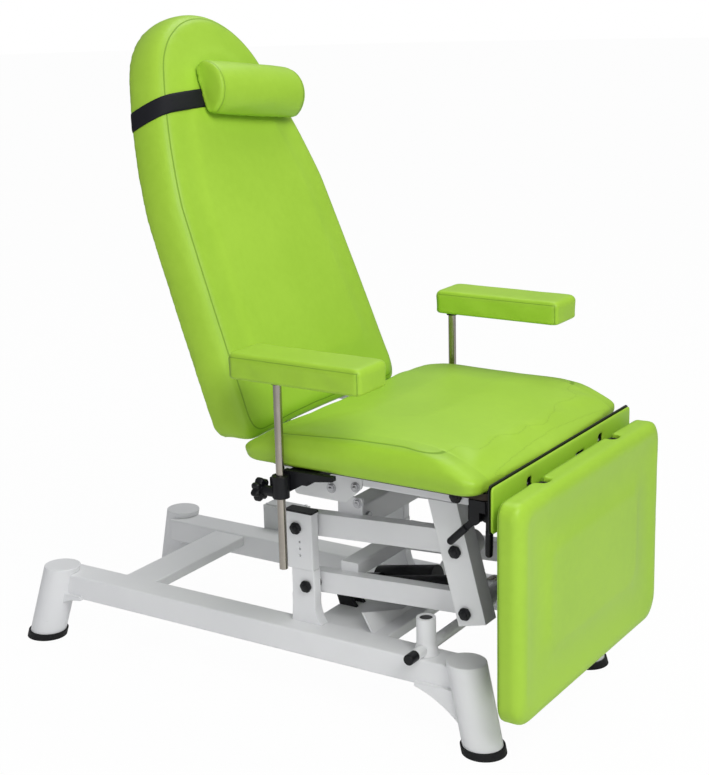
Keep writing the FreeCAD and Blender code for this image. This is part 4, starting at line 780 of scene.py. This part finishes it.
pillow = {
    "voxel": 0.004,
    "tighten": 0.0022,
    "pressure": 4.0,
    "cap": 0.0030,
    "glued": 0.010,
    "turn": -7.5,
    "side": 0.056,
    "along": 0.637,
    "half": 0.136,
    "seamInset": 0.010,
    "groove": 0.0012,
    "spread": 0.004,
}


def pillowAlong(place):
    # Distance along the roll from its middle
    local = backLocal(place)
    turn = math.radians(pillow["turn"])
    side = local[:, 1] - pillow["side"]
    length = local[:, 2] - pillow["along"]
    return side * math.cos(turn) + length * math.sin(turn)


def makePillow():
    def held(place):
        return backLocal(place)[:, 0] < pillow["glued"]

    def seam(place):
        return np.abs(pillowAlong(place)) - pillow["half"] + pillow["seamInset"]

    piece = coverFrom("headPillow", "head_pillow", pillow["voxel"], pillow["tighten"], held)
    fill(piece, pillow["pressure"], pillow["cap"], held)
    sewn(piece, seam, pillow["groove"], pillow["spread"])
    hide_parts("head_pillow")
    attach(piece, "pillow")


strap = {
    "along": 0.638,
    "width": 0.036,
    "thick": 0.0020,
    "rows": 9,
    "columns": 240,
    "proud": 0.0012,
    "edgeDip": 0.0010,
    "slant": 0.010,
    "centre": (-0.042, 0.0),
    "reach": 0.4,
}


def around(ring):
    # Convex loop round a ring of flat points, as a pulled band lies
    order = sorted(map(tuple, ring))
    halves = []
    for row in (order, order[::-1]):
        part = []
        for point in row:
            while len(part) > 1 and ((part[-1][0] - part[-2][0]) * (point[1] - part[-2][1])
                                     - (part[-1][1] - part[-2][1]) * (point[0] - part[-2][0])) <= 0:
                part.pop()
            part.append(point)
        halves += part[:-1]
    return np.array(halves)


def slanted(depth):
    # The band hangs lower towards the rear
    return strap["slant"] * np.clip(-depth / back["thickness"], 0.0, 1.0)


def bandRing(tree, level):
    # Where the filled backrest lies, looking inwards from all round it at one level
    centre = np.array(strap["centre"])
    ring = []
    for column in range(strap["columns"]):
        angle = math.tau * column / strap["columns"]
        way = np.array([math.cos(angle), math.sin(angle)])
        lower = 0.0
        for _ in range(2):
            ends = np.array([[*(centre + way * strap["reach"]), level - lower], [*centre, level - lower]])
            start, goal = backWorld(ends)
            hit = tree.ray_cast(Vector(start), Vector(goal - start).normalized())[0]
            found = backLocal(np.array([hit]))[0]
            lower = slanted(found[0])
        ring.append(found[:2])
    return ring


def evenLoop(ring):
    # The pulled loop in even steps, from the middle of the front face, so that the rows stay in step
    loop = around(ring)
    loop = np.vstack([loop, loop[:1]])
    run = np.concatenate([[0], np.cumsum(np.linalg.norm(np.diff(loop, axis=0), axis=1))])
    step = int(np.nonzero((loop[:-1, 1] <= 0) & (loop[1:, 1] > 0))[0][0])
    part = -loop[step, 1] / (loop[step + 1, 1] - loop[step, 1])
    start = run[step] + part * (run[step + 1] - run[step])
    even = (start + np.linspace(0, run[-1], strap["columns"], endpoint=False)) % run[-1]
    flat = np.stack([np.interp(even, run, loop[:, k]) for k in (0, 1)], 1)
    for _ in range(2):
        flat = (np.roll(flat, 1, 0) + flat * 2 + np.roll(flat, -1, 0)) / 4
    return flat


def bandRow(tree, share):
    # One line round the backrest, on the cover; share goes from -0.5 to 0.5 across the band
    level = strap["along"] + share * strap["width"]
    flat = evenLoop(bandRing(tree, level))
    tangent = np.roll(flat, -1, 0) - np.roll(flat, 1, 0)
    out = np.stack([tangent[:, 1], -tangent[:, 0]], 1)
    out /= np.linalg.norm(out, axis=1, keepdims=True)
    flat = flat + out * (strap["proud"] + strap["thick"] / 2 - strap["edgeDip"] * (2 * share) ** 4)
    return backWorld(np.column_stack([flat, level - slanted(flat[:, 0])]))


def bandMesh(grid):
    # Rows of points to a mesh that knows how far across and around the band each point lies
    rows, count = grid.shape[:2]
    faces = []
    for row in range(rows - 1):
        for column in range(count):
            nextColumn = (column + 1) % count
            faces.append((row * count + column, row * count + nextColumn,
                          (row + 1) * count + nextColumn, (row + 1) * count + column))
    mesh = bpy.data.meshes.new("pillowStrap")
    mesh.from_pydata([Vector(point) for row in grid for point in row], [], faces)
    mesh.update()
    width = np.linspace(-0.5, 0.5, rows) * strap["width"]
    run = np.arange(count) * (float(np.linalg.norm(np.diff(grid[0], axis=0), axis=1).mean()))
    across = mesh.attributes.new("across", "FLOAT", "POINT")
    length = mesh.attributes.new("around", "FLOAT", "POINT")
    across.data.foreach_set("value", np.repeat(width, count))
    length.data.foreach_set("value", np.tile(run, rows))
    return mesh


def makeStrap(cushion):
    tree = BVHTree.FromObject(cushion, bpy.context.evaluated_depsgraph_get())
    shares = [row / (strap["rows"] - 1) - 0.5 for row in range(strap["rows"])]
    piece = newPiece("pillowStrap", bandMesh(np.array([bandRow(tree, share) for share in shares])), "strap")
    push = piece.modifiers.new("thick", "SOLIDIFY")
    push.thickness = strap["thick"]
    push.offset = 0.0
    settle(piece)
    piece.data.shade_smooth()
    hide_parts("pillow_strap")
    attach(piece, "pillow")


flap = {"voxel": 0.0026, "soften": 4, "seamAway": 1.0}


def makeFlap():
    # A thin panel keeps its form, and every point counts as far from a seam
    piece = coverFrom("frontFlap", "front_flap", flap["voxel"])
    smooth = piece.modifiers.new("soften", "SMOOTH")
    smooth.iterations = flap["soften"]
    sewn(piece, lambda place: np.full(len(place), flap["seamAway"]), groove=0.0, rounds=0)
    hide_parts("front_flap")
    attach(piece, "seat_carrier")


# Fasteners and knobs

def sizedTree(name, sizes):
    # An empty Geometry Nodes tree with one named input for each size
    tree = bpy.data.node_groups.new(name, "GeometryNodeTree")
    tree.interface.new_socket("Geometry", in_out="INPUT", socket_type="NodeSocketGeometry")
    for key in sizes:
        tree.interface.new_socket(key, in_out="INPUT", socket_type="NodeSocketFloat")
    tree.interface.new_socket("Geometry", in_out="OUTPUT", socket_type="NodeSocketGeometry")
    start = tree.nodes.new("NodeGroupInput")
    return tree, {socket.name: Wire(tree, socket) for socket in start.outputs if socket.name}


def together(*shapes):
    made = shapes[0].tree.nodes.new("GeometryNodeJoinGeometry")
    for shape in shapes:
        made.id_data.links.new(shape.socket, made.inputs[0])
    return Wire(made.id_data, made.outputs[0])


turning = {"sides": 6, "rings": 4, "lobePower": 0.65, "rimPower": 5.0, "faceFrom": 0.999}
cornerCounts = {"cap": 60, "crown": 30, "washer": 32, "bolt": 24, "screw": 24,
                "star": 168, "hub": 40, "collar": 40}


def lobed(base, corners, radius, height, rim=0.0, dome=0.0, lobes=0.0, lobeDepth=0.0, start=0.0):
    # A turned shape, or a star of soft lobes, standing on its place: rounded rim and domed face
    turned = base.node("GeometryNodeMeshCylinder", None, {
        "Vertices": corners, "Side Segments": turning["sides"], "Fill Segments": turning["rings"],
        "Radius": 1.0, "Depth": 1.0})
    x, y, z = base.node("GeometryNodeInputPosition").split()
    reach = base.sum("SQRT", x * x + y * y)
    angle = base.sum("ARCTAN2", y, x)
    rise = z + 0.5
    wave = (base.sum("COSINE", angle * lobes) + 1.0) * 0.5
    swell = base.sum("POWER", wave, turning["lobePower"]) * lobeDepth
    ends = (z * 2.0).size()
    width = (swell + radius - base.sum("POWER", ends, turning["rimPower"]) * rim) * reach
    face = base.sum("GREATER_THAN", rise, turning["faceFrom"])
    level = rise * height + face * (1.0 - reach * reach) * dome + start
    place = base.node("ShaderNodeCombineXYZ", None, {
        "X": width * base.sum("COSINE", angle), "Y": width * base.sum("SINE", angle), "Z": level})
    return base.node("GeometryNodeSetPosition", None, {"Geometry": turned, "Position": place})


def placed(host, shape):
    # One shape on every point of the host, its axis along the point's facing
    facing = shape.node("GeometryNodeInputNamedAttribute", {"data_type": "FLOAT_VECTOR"}, {"Name": "facing"})
    turn = shape.node("FunctionNodeAlignRotationToVector", {"axis": "Z"}, {"Vector": facing})
    return shape.node("GeometryNodeInstanceOnPoints", None,
                      {"Points": host, "Instance": shape, "Rotation": turn})


sharpAngle = 38.0


def grow(name, slot, body, host, sizes, build):
    # The tree runs once on the host's points; its result is kept as a plain mesh on one body
    piece = bpy.data.objects.new(name, host)
    scene.collection.objects.link(piece)
    tree, size = sizedTree(name, sizes)
    shape = build(size)
    shape = shape.node("GeometryNodeRealizeInstances", None, {"Geometry": shape})
    shape = shape.node("GeometryNodeSetMaterial", None, {"Geometry": shape, "Material": paints[slot]})
    end = tree.nodes.new("NodeGroupOutput")
    tree.links.new(shape.socket, end.inputs[0])
    modifier = piece.modifiers.new("grow", "NODES")
    modifier.node_group = tree
    for item in tree.interface.items_tree:
        if item.in_out == "INPUT" and item.name in sizes:
            modifier[item.identifier] = float(sizes[item.name])
    settle(piece)
    piece.data.shade_smooth()
    piece.data.set_sharp_from_angle(angle=math.radians(sharpAngle))
    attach(piece, body)
    return piece


def hostOf(name, places, ways, edges=()):
    # A mesh of bare points, or a line through them, that knows the way each point faces
    mesh = bpy.data.meshes.new(name)
    mesh.from_pydata(places, edges, [])
    facing = mesh.attributes.new("facing", "FLOAT_VECTOR", "POINT")
    facing.data.foreach_set("vector", [value for way in ways for value in way])
    return mesh


def spots(name, places):
    # Single points; each place is in millimetres from the base's middle, and has a way beside it
    made = [(x / 1000 + chairShift, y / 1000, z / 1000) for (x, y, z), way in places]
    return hostOf(name, made, [way for place, way in places])


def bothSides(spotsNear):
    # The same places on the near and the far side, facing outwards
    return [((x, side * y, z), (0, side, 0)) for x, y, z in spotsNear for side in (-1, 1)]


pivotCap = {
    "Radius": 0.0114,
    "Lobe Depth": 0.0011,
    "Height": 0.0068,
    "Rim": 0.0012,
    "Dome": 0.0014,
    "Crown Radius Share": 0.62,
    "Crown Height Share": 0.35,
    "Crown Start Share": 0.3,
    "Lobes": 6.0,
}
pivotPlaces = {
    "base": ((107.0, 184.0, 346.0), (127.0, 184.0, 229.0)),
    "seat_carrier": ((467.0, 196.0, 367.5), (487.0, 196.0, 250.5), (470.0, 196.0, 474.0)),
}


def pivotShape(size):
    # A cap with soft lobes and a low round crown
    base = size["Geometry"]
    cap = lobed(base, cornerCounts["cap"], size["Radius"], size["Height"], size["Rim"], size["Dome"],
                size["Lobes"], size["Lobe Depth"])
    crown = lobed(base, cornerCounts["crown"], size["Radius"] * size["Crown Radius Share"],
                  size["Height"] * size["Crown Height Share"], size["Rim"], size["Dome"],
                  start=size["Height"] + size["Dome"] * size["Crown Start Share"])
    return placed(base, together(cap, crown))


nut = {
    "Radius": 0.0078,
    "Height": 0.0050,
    "Washer": 0.0102,
    "Washer Height": 0.0014,
    "Washer Rim": 0.0003,
    "Bolt": 0.0036,
    "Bolt Proud": 0.0016,
    "Bolt Rim": 0.0006,
    "Bolt Dome": 0.0008,
}
nutPlaces = {
    "seat_carrier": ((203.0, 200.0, 448.0), (257.0, 200.0, 458.0)),
    "upper_link_frame": ((217.0, 133.0, 399.0),),
}


def nutShape(size):
    # Washer, six flats and the bolt's end; the flats' lower half lies in the plate
    base = size["Geometry"]
    washer = lobed(base, cornerCounts["washer"], size["Washer"], size["Washer Height"], size["Washer Rim"])
    flats = base.node("GeometryNodeMeshCylinder", None, {
        "Vertices": 6, "Radius": size["Radius"], "Depth": size["Height"] * 2.0})
    bolt = lobed(base, cornerCounts["bolt"], size["Bolt"], size["Height"] + size["Bolt Proud"],
                 size["Bolt Rim"], size["Bolt Dome"])
    return placed(base, together(washer, flats, bolt))


tack = {"Pitch": 0.046, "Radius": 0.0042, "Height": 0.0016}
tackInset = 0.014
faceReach = 0.0006


def tackShape(size):
    # Tacks at an even pitch along the board's rim
    line = size["Geometry"].node("GeometryNodeMeshToCurve", None, {"Mesh": size["Geometry"]})
    even = line.node("GeometryNodeResampleCurve", {"mode": "LENGTH"},
                     {"Curve": line, "Length": size["Pitch"]})
    head = line.node("GeometryNodeMeshUVSphere", None, {"Segments": 10, "Rings": 6, "Radius": 1.0})
    scale = line.node("ShaderNodeCombineXYZ", None,
                      {"X": size["Radius"], "Y": size["Radius"], "Z": size["Height"]})
    head = head.node("GeometryNodeTransform", None, {"Geometry": head, "Scale": scale})
    return placed(even, head)


def rimSpots(name, flat, lift, way):
    # Closed line inside the rim of a board's outer face; lift turns flat points into places
    rim = around(flat)
    middle = (rim.max(axis=0) + rim.min(axis=0)) / 2
    half = (rim.max(axis=0) - rim.min(axis=0)) / 2
    places = lift(middle + (rim - middle) * (1 - tackInset / half))
    count = len(places)
    edges = [(i, (i + 1) % count) for i in range(count)]
    return hostOf(name, [tuple(place) for place in places], [way] * count, edges)


def makeTacks():
    board = backLocal(points(nodes["backrest_board"].data))
    backRear = board[:, 0].min()
    lean = math.radians(back["recline"])
    host = rimSpots("backTacks", board[board[:, 0] < backRear + faceReach][:, 1:],
                    lambda rim: backWorld(np.column_stack([np.full(len(rim), backRear), rim])),
                    (-math.cos(lean), 0.0, -math.sin(lean)))
    grow("backTacks", "zinc", "backrest", host, tack, tackShape)
    board = points(nodes["leg_rest_board"].data)
    legRear = board[:, 0].min()
    host = rimSpots("legTacks", board[board[:, 0] < legRear + faceReach][:, 1:],
                    lambda rim: np.column_stack([np.full(len(rim), legRear), rim]), (-1.0, 0.0, 0.0))
    grow("legTacks", "zinc", "leg_rest", host, tack, tackShape)


lidScrew = {"Radius": 0.0034, "Height": 0.0012, "Rim": 0.0005, "Dome": 0.0010}
lid = {"middle": (-221.0, 245.0, 208.0), "alongReach": 43.0, "acrossReach": 15.0}


def lidPlaces():
    # The four corners of the control box's lid, facing up
    x, y, z = lid["middle"]
    return [((x + along * lid["alongReach"], y + across * lid["acrossReach"], z), (0, 0, 1))
            for along in (-1, 1) for across in (-1, 1)]


def lidScrewShape(size):
    base = size["Geometry"]
    return placed(base, lobed(base, cornerCounts["screw"], size["Radius"], size["Height"], size["Rim"],
                              size["Dome"]))


starKnob = {
    "Radius": 0.0165,
    "Lobes": 7.0,
    "Lobe Depth": 0.0062,
    "Rim": 0.0030,
    "Height": 0.016,
    "Dome": 0.0016,
    "Hub Radius Share": 0.62,
    "Hub Height Share": 0.16,
    "Hub Rim": 0.0012,
    "Hub Dome": 0.0012,
    "Collar": 0.0090,
    "Collar Length": 0.0056,
    "Collar Rim": 0.0004,
    "Collar Overlap": 0.002,
}
knobPlace = (134.0, 321.0, 469.0)


def knobShape(size):
    # Soft lobes round a hub, with a collar towards the clamp
    base = size["Geometry"]
    star = lobed(base, cornerCounts["star"], size["Radius"], size["Height"], size["Rim"], size["Dome"],
                 size["Lobes"], size["Lobe Depth"])
    hub = lobed(base, cornerCounts["hub"], size["Radius"] * size["Hub Radius Share"],
                size["Height"] * size["Hub Height Share"], size["Hub Rim"], size["Hub Dome"],
                start=size["Height"])
    collar = lobed(base, cornerCounts["collar"], size["Collar"],
                   size["Collar Length"] + size["Collar Overlap"], size["Collar Rim"],
                   start=0.0 - size["Collar Length"])
    return placed(base, together(star, hub, collar))


def makeFasteners():
    for body, places in pivotPlaces.items():
        host = spots("caps", bothSides(places))
        grow("pivotCaps_" + body, "black_plastic", body, host, pivotCap, pivotShape)
    for body, places in nutPlaces.items():
        grow("nuts_" + body, "zinc", body, spots("nuts", bothSides(places)), nut, nutShape)
    grow("lidScrews", "zinc", "base", spots("screws", lidPlaces()), lidScrew, lidScrewShape)
    makeTacks()
    x, y, z = knobPlace
    for side, sign in (("right", -1), ("left", 1)):
        host = spots("knob", [((x, sign * y, z), (-1, 0, 0))])
        knob = grow("starKnob_" + side, "black_plastic", "knob_" + side, host, starKnob, knobShape)
        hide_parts("arm_knob_" + side)
    print("stage: fasteners and knobs")


makeSeat()
cushion = makeBackrest()
makeLegRest()
for side in ("right", "left"):
    makeArmPad(side)
makePillow()
makeStrap(cushion)
makeFlap()
print("stage: soft pieces")
makeFasteners()
